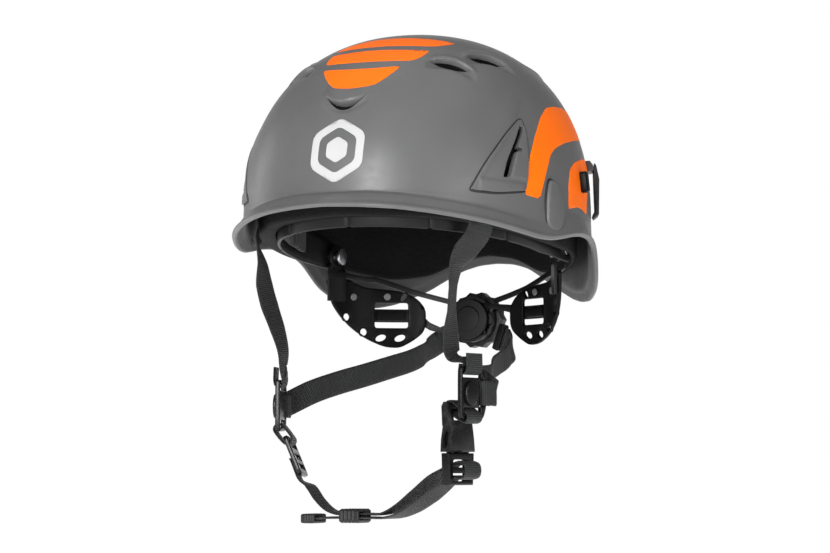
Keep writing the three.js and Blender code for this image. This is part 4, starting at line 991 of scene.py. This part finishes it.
dd_ = np.linspace(0, 90, 901)
pp_ = cradle_at(dd_, 0, 0)
arc_ = np.concatenate([[0], np.cumsum(np.linalg.norm(np.diff(pp_, axis=0), axis=1))])
to_s = lambda d: np.interp(d, dd_, arc_)
to_d = lambda s: np.interp(s, arc_, dd_)
CUP = [[71.5, -31], [69.5, -40], [67, -48], [62.4, -55.5], [56.1, -63], [48.2, -70], [39.3, -75], [32.3, -75.5], [26.5, -71], [22, -66], [20.5, -61], [20.5, -50], [24, -43.5], [30, -38.8], [39, -37.2], [49, -36.3], [55, -33], [58, -31]]
for s, k in ((1, "left"), (-1, "right")):
    def on_cup(q, s=s):
        P = cradle_at(to_d(q[:, 0]), 0, q[:, 1])
        N = cradle_at(to_d(q[:, 0]), 1, q[:, 1]) - P
        return P * [s, 1, 1], N * [s, 1, 1]
    out = np.array([[to_s(a), b] for a, b in CUP])
    hs = [rrect(to_s(28.6), -62.4, to_s(44.2), -46, 1.6), oval(to_s(30.5), -42.2, 1.3, 3.2, 20, .6), oval(to_s(58.9), -55.8, 2.3, 2.3), oval(to_s(49.8), -65.3, 2.3, 2.3),
          oval(to_s(41.3), -69, 3.6, 2, 20, -.35), oval(to_s(32.3), -69, 3.6, 2, 20, -.35)]
    cup = sheet("nape_cup_%s_fine" % k, chaikin(out, 2, .2), hs, on_cup, 0, 2.4, .7, 2.0, ["cup" if s > 0 else "cup_r", "black"], step=1.0)
    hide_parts("nape_cup_" + k)
    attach(cup, "cup_" + k)

# ----------------------------------------------------------------- dividers
DIV = {"left": (np.array([60.5, -62, -110.]), unit([.287, .958, 0]), unit([.958, -.287, 0])), "right": (np.array([-64, -62, -116.]), unit([-.287, .958, 0]), unit([-.958, -.287, 0]))}


def at(f, w, z, n):
    return f[0] + f[1] * w + Z * z + f[2] * n


def flat(o, ex, ey, n):
    return lambda q: (o + q[:, :1] * ex + q[:, 1:] * ey, np.broadcast_to(n, (len(q), 3)))


for k in ("left", "right"):
    f = DIV[k]
    outline = np.array([[-9.6, 15.5], [8.4, 15.5], [11.5, 13.5], [13, 9], [13, -7.5], [11, -13], [9, -15.5], [-9, -15.5], [-10.6, -13], [-10.6, 13]], float)
    hs = [rrect(-8.6, 9, 8.2, 12.6, .6), rrect(-8, -12.9, 8, -8.7, .6), rrect(6.2, -7.7, 10.2, 8, .6)]
    plate = sheet("divider_%s_fine" % k, chaikin(outline, 2, .2), hs, flat(f[0], f[1], Z, f[2]), -1.5, 1.5, .6, 3.0, "buckle", step=1.2)
    dome_pad = lambda q: 3.4 + .5 * (1 - ((q[:, 0] + 2) / 6) ** 2 - ((q[:, 1] + .4) / 8) ** 2)
    pad = sheet("divider_%s_boss" % k, oval(-2, -.4, 5.8, 7.4, 40), [], flat(f[0], f[1], Z, f[2]), 1.2, dome_pad, .9, 1.5, "buckle", step=1.0)
    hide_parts("divider_" + k)
    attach(plate, "helmet")
    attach(pad, "helmet")

# ladder slider
LSo, LSt = np.array([-54.5, -60.5, -146.5]), unit([.42, 0, -.907])
LSw = DIV["right"][1] - LSt * (DIV["right"][1] @ LSt)
LSw = unit(LSw); LSn = unit(np.cross(LSt, LSw)); LSu = -LSt
slider = sheet("ladder_slider_fine", rrect(-10.5, -12.5, 10.5, 12.5, 3, 6), [rrect(-8, 4.6, 8, 9.4, 1), rrect(-8, -9, 8, -5.3, .8), rrect(-8, -2.9, 8, 1, .8)], flat(LSo, LSw, LSu, unit(np.cross(LSw, LSu))), -1.3, 1.3, .5, 3.0, "buckle", step=1.2)
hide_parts("ladder_slider")
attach(slider, "ladder_slider")

# ----------------------------------------------------------------- webbing
def curve(points, closed=False, per=60):
    p = np.asarray(points, float)
    n = len(p)
    out, par = [], []
    for i in range(n if closed else n - 1):
        if closed:
            a, b, c, d = p[(i - 1) % n], p[i], p[(i + 1) % n], p[(i + 2) % n]
        else:
            b, c = p[i], p[i + 1]
            a = p[i - 1] if i else 2 * b - c
            d = p[i + 2] if i + 2 < n else 2 * c - b
        t1, t2, t3 = [max(1e-4, np.linalg.norm(y - x)) ** .5 for x, y in ((a, b), (b, c), (c, d))]
        m1 = (b - a) / t1 - (c - a) / (t1 + t2) + (c - b) / t2
        m2 = (c - b) / t2 - (d - b) / (t2 + t3) + (d - c) / t3
        m1, m2 = m1 * t2, m2 * t2
        for j in range(per):
            x = j / per
            out.append((2 * x ** 3 - 3 * x * x + 1) * b + (x ** 3 - 2 * x * x + x) * m1 + (-2 * x ** 3 + 3 * x * x) * c + (x ** 3 - x * x) * m2)
            par.append(i + x)
    if not closed:
        out.append(p[-1]); par.append(n - 1)
    return np.array(out), np.array(par)


def webbing(name, route, width=14.5, thick=1.3, closed=False, per=40, rib=1.15, smooth_n=3):
    route = np.asarray(route, float)
    pts, par = curve(route[:, :3], closed, per)
    if closed:
        pts, par = np.vstack([pts, pts[:1]]), np.append(par, len(route))
    L = np.concatenate([[0], np.cumsum(np.linalg.norm(np.diff(pts, axis=0), axis=1))])
    n = int(L[-1] / .36)
    s = np.linspace(0, L[-1], n + 1)
    if closed:
        s = s[:-1]
    P = np.stack([np.interp(s, L, pts[:, i]) for i in range(3)], 1)
    ws = route[:, 3:6] / np.linalg.norm(route[:, 3:6], axis=1, keepdims=True)
    ws = np.vstack([ws, ws[:1]]) if closed else ws
    q = np.interp(s, L, par)
    W = np.stack([np.interp(q, np.arange(len(ws)), ws[:, i]) for i in range(3)], 1)
    T = np.gradient(P, axis=0) if not closed else np.roll(P, -1, 0) - np.roll(P, 1, 0)
    T /= np.linalg.norm(T, axis=1, keepdims=True)
    W -= T * (W * T).sum(1, keepdims=True)
    W /= np.linalg.norm(W, axis=1, keepdims=True)
    N = np.cross(T, W)
    m = 15
    a = np.linspace(-1, 1, m)
    hw, ht = width / 2, thick / 2
    side = []
    for x in a:
        side.append((x * hw, ht * (1 - .55 * abs(x) ** 10), 1))
    prof = side + [(hw * 1.005, 0, 0)] + [(x, -y, -1) for x, y, _ in side[::-1]] + [(-hw * 1.005, 0, 0)]
    c = len(prof)
    u = np.array([x for x, _, _ in prof]); v = np.array([y for _, y, _ in prof]); f = np.array([z for _, _, z in prof], float)
    ribs = .12 * np.sin(2 * pi * s / rib)[:, None] * (f * np.clip((hw - np.abs(u)) / .9, 0, 1))[None]
    wave = .05 * np.sin(s * .21 + 1.3)[:, None] + .04 * np.sin(s * .093)[:, None]
    edge = .06 * np.sin(2 * pi * s / rib)[:, None] * np.sign(u)[None] * (np.abs(u)[None] > hw - .8)
    V = P[:, None] + W[:, None] * (u[None] + edge)[..., None] + N[:, None] * (v[None] + ribs + wave)[..., None]
    uv = np.stack([np.broadcast_to(u[None] + f[None] * 20, V.shape[:2]), np.broadcast_to(s[:, None], V.shape[:2])], -1).reshape(-1, 2)
    F = quads(len(P), c, close_rows=closed).tolist()
    if not closed:
        F += [list(range(c))[::-1], list(range((len(P) - 1) * c, len(P) * c))]
    return make(name, V.reshape(-1, 3), F, "web", 65, uv=uv)


def fold(c, away, n, w, rn, ra, back):
    q = lambda a, b: [*(c + away * a + n * b), *w]
    return [q(4, rn), q(.6, rn), q(-ra * .72, rn * .72), q(-ra, 0), q(-ra * .72, -rn * .72), q(.6, -rn), q(back * .5, -rn), q(back, -rn * .95)]


RN, RA = 2.85, 2.9
FRONT_L = [[71.3, -82, 2, .614, .789, 0], [71.3, -82, -2, .614, .789, 0], [71.3, -82, -5.6, .614, .789, 0], [74.4, -80, -11.5, .8, .6, .05], [71.5, -77.4, -18.5, .88, .46, -.1], [63, -75, -27.5, .7, .62, -.35],
           [56.3, -73, -37, .1, .99, -.05], [53.2, -71, -48, -.1, .99, 0], [51.4, -69, -62, -.08, .99, 0], [50, -67, -76, .25, .96, 0], [51, -65.4, -88, .3, .95, 0]]
FRONT_R = [[-71.3, -82, 2, -.614, .789, 0], [-71.3, -82, -2, -.614, .789, 0], [-71.3, -82, -5.6, -.614, .789, 0], [-74, -78.6, -14, -.55, .83, 0], [-73, -75.8, -21, -.35, .93, 0], [-71.3, -73.5, -30, -.1, .99, 0],
           [-70.6, -71.5, -43, .25, .96, .1], [-67.8, -70, -56, .32, .94, .1], [-63.2, -68.3, -70, .2, .97, .05], [-60.3, -66.6, -83, 0, 1, 0], [-60.4, -65.3, -94, -.2, .97, 0]]
L_, R_ = DIV["left"], DIV["right"]
fl_ = webbing("front_strap_left_web", FRONT_L + fold(at(L_, -.2, 14.1, 0), Z, -L_[2], L_[1], RN, RA, 9))
fr_ = webbing("front_strap_right_web", FRONT_R + fold(at(R_, -.2, 14.1, 0), Z, -R_[2], R_[1], RN, RA, 9))
for o, k in ((fl_, "left"), (fr_, "right")):
    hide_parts("front_strap_" + k)
    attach(o, "helmet")
NAPE_R = [[-60, -28, -107, 0, .25, .97], [-52, -6, -100.5, 0, .22, .97], [-44.5, 14, -95.5, 0, .25, .97], [-37.5, 42, -89, 0, .2, .98], [-33.5, 62, -84.5, .05, .2, .98],
          [-30.8, 74, -80.5, .1, .25, .97], [-29, 83.2, -76, .25, .2, .95], [-24.4, 87.5, -71.4, .38, .1, .92], [-20.4, 88.6, -69.7, .38, .1, .92], [-16.4, 89.7, -68, .38, .1, .92]]
NAPE_L = [[55.5, -36, -101.5, 0, .25, .97], [50, -6, -98, 0, .22, .97], [43, 14, -93, 0, .25, .97], [36.5, 42, -88, 0, .2, .98], [33, 62, -84, -.05, .2, .98],
          [30.8, 74, -80.5, -.1, .25, .97], [29, 83.2, -76, -.25, .2, .95], [24.4, 87.5, -71.4, -.38, .1, .92], [20.4, 88.6, -69.7, -.38, .1, .92], [16.4, 89.7, -68, -.38, .1, .92]]


def nape(rows, f):
    c = at(f, 11.6, .15, 0)
    q = lambda a, b: [*(c + f[1] * a + f[2] * b), 0, 0, 1]
    return [q(9, -2.2), q(4, -RN), q(-.4, -RN), q(-RA * .72, -RN * .72), q(-RA, 0), q(-RA * .72, RN * .72), q(-.4, RN), q(4, RN), q(8.5, 2.3)] + rows


for rows, k in ((NAPE_L, "left"), (NAPE_R, "right")):
    o = webbing("nape_strap_%s_web" % k, nape(rows, DIV[k]))
    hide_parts("nape_strap_" + k)
    s = 1 if k == "left" else -1
    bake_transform(o)

BKo = np.array([50.9, -59.1, -130.]); BKf = (BKo, L_[1], L_[2])


def ring(ca, cb, w0, w1, rr):
    d = unit(cb - ca)
    up = unit(np.cross(d, w0))
    out = []
    for i in range(7):
        a = radians(90 + 30 * i); out.append([*(ca + d * rr * cos(a) + up * rr * sin(a)), *w0])
    for i in range(7):
        a = radians(-90 + 30 * i); out.append([*(cb + d * rr * cos(a) + up * rr * sin(a)), *w1])
    return out


o = webbing("socket_strap_web", ring(at(BKf, 0, 12.45, -1.5), at(L_, 0, -14.2, 0), BKf[1], BKf[1], 3.0), width=13.6, closed=True)
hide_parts("socket_strap"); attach(o, "helmet")
o = webbing("slider_strap_web", ring(at(R_, 0, -14.2, 0), LSo + LSu * 10.95, R_[1], LSw, 3.05), width=14.0, closed=True)
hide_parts("slider_strap"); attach(o, "helmet")

bar = at(BKf, 0, -24.9, 0)
Bp = lambda a, z: [*(bar + BKf[2] * a + Z * z), *BKf[1]]
Sp = lambda u, k: [*(LSo + LSu * u + LSn * k), *LSw]
Pp = lambda x, y, z, w=(0, 1, 0): [x, y, z, *w]
chin = [Sp(-1, -2.7), Sp(-3.6, -2.55), Sp(-6, -2.6), Sp(-10, -2.7), Sp(-15, -2.3), Pp(-44.5, -60, -164.5), Pp(-38.5, -60, -172.2), Pp(-31.5, -60, -178.2), Pp(-25, -60, -180.4), Pp(-18, -60, -180.6), Pp(-6, -60, -180.6),
        Pp(4, -60, -180.4), Pp(14, -60, -176.8, (.1, .98, -.15)), Pp(24, -59.4, -169.6, (.2, .95, -.2)), Pp(35, -58.2, -160.6, (.25, .95, -.2)), Bp(-7.5, .2), Bp(-3.4, 3.4), Bp(0, 3.7), Bp(6.5, 4.9), Bp(10.4, 3.6), Bp(11.6, 0),
        Bp(10.4, -3.6), Bp(6.5, -4.7), Bp(0, -3.7), Bp(-3.6, -4.2), Bp(-8, -8.2), Pp(35, -58.4, -169.4, (.25, .95, -.25)), Pp(24, -59.4, -176.8, (.2, .95, -.2)), Pp(14, -60, -181.3, (.1, .98, -.1)), Pp(5, -60, -182.7), Pp(-6, -60, -182.8),
        Pp(-18, -60, -182.8), Pp(-30, -60, -183), Pp(-40, -60, -183.4), Pp(-46, -60, -183.6)]
half_a = chin[:10] + [Pp(-15, -60, -180.6)]
half_b = [Pp(-14.6, -60, -180.6)] + chin[10:]
ca_ = webbing("chin_strap_slider_side", half_a)
cb_ = webbing("chin_strap_buckle_side", half_b)
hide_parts("chin_strap"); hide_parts("chin_strap")
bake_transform(ca_)
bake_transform(cb_)

# rubber keeper and tail clip, ribbed across
def tube_block(name, outer, hole, o, ex, ey, depth, key, ribs=0.0, period=2.6, r=.7):
    n = unit(np.cross(ex, ey))
    zs = np.unique(np.concatenate([[-depth / 2, -depth / 2 + r * .3, -depth / 2 + r], np.linspace(-depth / 2 + r, depth / 2 - r, 40), [depth / 2 - r, depth / 2 - r * .3, depth / 2]]))
    outer, hole = fine(outer, 1.0), fine(hole, 1.0)
    m, k = len(outer), len(hole)
    rings_o, rings_h = [], []
    for z in zs:
        e = depth / 2 - abs(z)
        ins = r - (r * r - (r - min(e, r)) ** 2) ** .5
        g = ribs * .5 * (1 + cos(2 * pi * z / period)) if e > 1.2 else 0
        po = inset(outer, ins + ribs - g)
        rings_o.append(o + po[:, :1] * ex + po[:, 1:] * ey + n * z)
    for z in zs[::-1]:
        rings_h.append(o + hole[:, :1] * ex + hole[:, 1:] * ey + n * z)
    V = np.concatenate(rings_o + rings_h)
    F = quads(len(zs), m).tolist() + quads(len(zs), k, off=m * len(zs)).tolist()
    a0, h0 = 0, m * len(zs) + (len(zs) - 1) * k
    a1, h1 = (len(zs) - 1) * m, m * len(zs)
    for ao, ho in ((a0, h0), (a1, h1)):
        idx = np.arange(m) + ao
        hid = np.arange(k) + ho
        pts = [Vector(p) for p in np.concatenate([outer, hole])]
        cons = [(i, (i + 1) % m) for i in range(m)] + [(m + i, m + (i + 1) % k) for i in range(k)]
        _, _, fs, ov, _, _ = delaunay_2d_cdt(pts, cons, [], 0, 1e-7)
        allp = np.concatenate([outer, hole])
        for f in fs:
            t = [ov[i][0] for i in f]
            if inside(allp[t].mean(0)[None], [outer, hole])[0]:
                F.append([int(idx[i]) if i < m else int(hid[i - m]) for i in t])
    return make(name, V, F, key, 50)


X1, Y1 = np.array([1., 0, 0]), np.array([0, 1., 0])
kp = tube_block("strap_keeper_fine", rrect(-9.6, -4.2, 9.6, 4.2, 2, 6), rrect(-7.8, -2.4, 7.8, 2.4, .6, 3), np.array([-15, -60, -181.7]), Y1, Z, 13, "rubber", .45, 2.5)
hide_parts("strap_keeper"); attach(kp, "keeper")
tc = tube_block("tail_clip_fine", rrect(-8.6, -2.9, 8.6, 2.9, 1.4, 5), rrect(-7.7, -1.3, 7.7, 1.3, .3, 2), np.array([-42.5, -60, -183.45]), Y1, Z, 9, "rubber", .2, 1.8, .5)
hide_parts("tail_clip"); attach(tc, "helmet")

# -------------------------------------------------------------- padded parts
def pad_from(node, cap, seams, name):
    src = frame["nodes"][node]
    me = src.data.copy()
    me.materials.clear(); me.materials.append(M["pad"])
    o = bpy.data.objects.new(name, me)
    scene.collection.objects.link(o)
    v = np.array([p.co for p in me.vertices]); c = v.mean(0)
    rm = o.modifiers.new("remesh", "REMESH")
    rm.mode, rm.voxel_size = "VOXEL", .0016
    evaluated(o)
    me = o.data
    bm = bmesh.new(); bm.from_mesh(me)
    bmesh.ops.smooth_vert(bm, verts=bm.verts, factor=.5, use_axis_x=True, use_axis_y=True, use_axis_z=True)
    bmesh.ops.smooth_vert(bm, verts=bm.verts, factor=.5, use_axis_x=True, use_axis_y=True, use_axis_z=True)
    for q in bm.verts:
        q.co -= q.normal * .0006
    bm.to_mesh(me); bm.free()
    rest = np.array([p.co for p in me.vertices])
    cl = o.modifiers.new("cloth", "CLOTH")
    st = cl.settings
    st.quality = 4
    st.mass = .15
    st.use_pressure, st.uniform_pressure_force = True, 4.0
    st.tension_stiffness = st.compression_stiffness = 12
    st.bending_stiffness = .6
    st.effector_weights.gravity = 0
    cl.collision_settings.use_collision = False
    cl.point_cache.frame_start, cl.point_cache.frame_end = 1, 20
    for f in range(1, 21):
        scene.frame_set(f)
    evaluated(o)
    scene.frame_set(1)
    me = o.data
    now = np.array([p.co for p in me.vertices])
    mv = now - rest
    ln = np.linalg.norm(mv, axis=1, keepdims=True)
    lim = cap / 1000.0
    now = rest + mv / np.maximum(ln, 1e-9) * (lim * np.tanh(ln / lim))
    me.vertices.foreach_set("co", now.astype(np.float32).ravel())
    sub = o.modifiers.new("sub", "SUBSURF")
    sub.levels = sub.render_levels = 1
    evaluated(o)
    me = o.data
    co = np.array([p.co for p in me.vertices]); nr = np.array([p.normal for p in me.vertices])
    g = seams(co * 1000.0)
    co = co - nr * (g / 1000.0)[:, None]
    me.vertices.foreach_set("co", co.astype(np.float32).ravel())
    me.materials.clear(); me.materials.append(M["pad"])
    finish_mesh(me, 70)
    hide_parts(node)
    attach(o, "helmet")
    return o


ang = lambda c: np.degrees(np.arctan2(c[:, 0] / A, -c[:, 1] / BF))
channel = lambda x, at_, w, depth: sum(depth * np.exp(-((x - a) / w) ** 2) for a in at_)
pad_from("forehead_pad", 1.1, lambda c: channel(ang(c), (-36, -18, 0, 18, 36), .7, .7), "forehead_pad_soft")
for k in ("left", "right"):
    pad_from("temple_pad_" + k, .9, lambda c: channel(np.abs(ang(c)), (72,), .8, .6), "temple_pad_%s_soft" % k)
pad_from("crown_pad", 1.1, lambda c: channel(c[:, 0], (-6, 6), .8, .7), "crown_pad_soft")

# -------------------------------------------------- stage: floor and light
def add_stage():
    me = bpy.data.meshes.new("floor")
    zf = CAD_BOX[0][2] - .35
    me.from_pydata([(-14, -14, zf), (14, -14, zf), (14, 14, zf), (-14, 14, zf)], [], [(0, 1, 2, 3)])
    n = Nodes("floor_pale")
    f = n.noise(3.0, 2.0)
    col = n.mix(f, (.88, .88, .88), (.92, .92, .92))
    n.link(col, n.bsdf.inputs["Emission Color"])
    n.bsdf.inputs["Emission Strength"].default_value = .8
    me.materials.append(n.done(col, .9, Specular_IOR_Level=0.0))
    o = bpy.data.objects.new("floor", me)
    scene.collection.objects.link(o)


add_stage()
world = bpy.data.worlds.new("studio")
scene.world = world
world.use_nodes = True
wt = world.node_tree
bg = wt.nodes["Background"]
coord = wt.nodes.new("ShaderNodeTexCoord")
dot = wt.nodes.new("ShaderNodeVectorMath"); dot.operation = "DOT_PRODUCT"
wt.links.new(coord.outputs["Generated"], dot.inputs[0])
dot.inputs[1].default_value = (-0.4022, 0.9097, 0.1034)
ramp = wt.nodes.new("ShaderNodeMapRange"); ramp.interpolation_type = "SMOOTHSTEP"
wt.links.new(dot.outputs["Value"], ramp.inputs[0])
for i, v in enumerate((.88, .97, .24, 1.0)):
    ramp.inputs[i + 1].default_value = v
bg.inputs[0].default_value = (1, 1, 1, 1)
wt.links.new(ramp.outputs[0], bg.inputs[1])


def softbox(name, place, size, power, aim=(0, 0, -.02)):
    d = bpy.data.lights.new(name, "AREA")
    d.shape, d.size, d.size_y, d.energy = "RECTANGLE", size[0], size[1], power
    o = bpy.data.objects.new(name, d)
    scene.collection.objects.link(o)
    p = Vector(place)
    o.matrix_world = Matrix.Translation(p) @ (p - Vector(aim)).to_track_quat("Z", "Y").to_matrix().to_4x4()
    return o


softbox("key", (.12, -1.9, .42), (.38, 1.15), 36, (0, 0, .03))
softbox("rim", (-1.75, .35, .15), (.35, 1.3), 5)
softbox("side", (1.75, -.75, .25), (.35, 1.2), 8)
softbox("low", (.2, -1.7, -.14), (1.0, .1), 3, (0, 0, 0))
sun = bpy.data.lights.new("overhead", "SUN")
sun.energy, sun.angle = .75, radians(70)
so_ = bpy.data.objects.new("overhead", sun)
scene.collection.objects.link(so_)
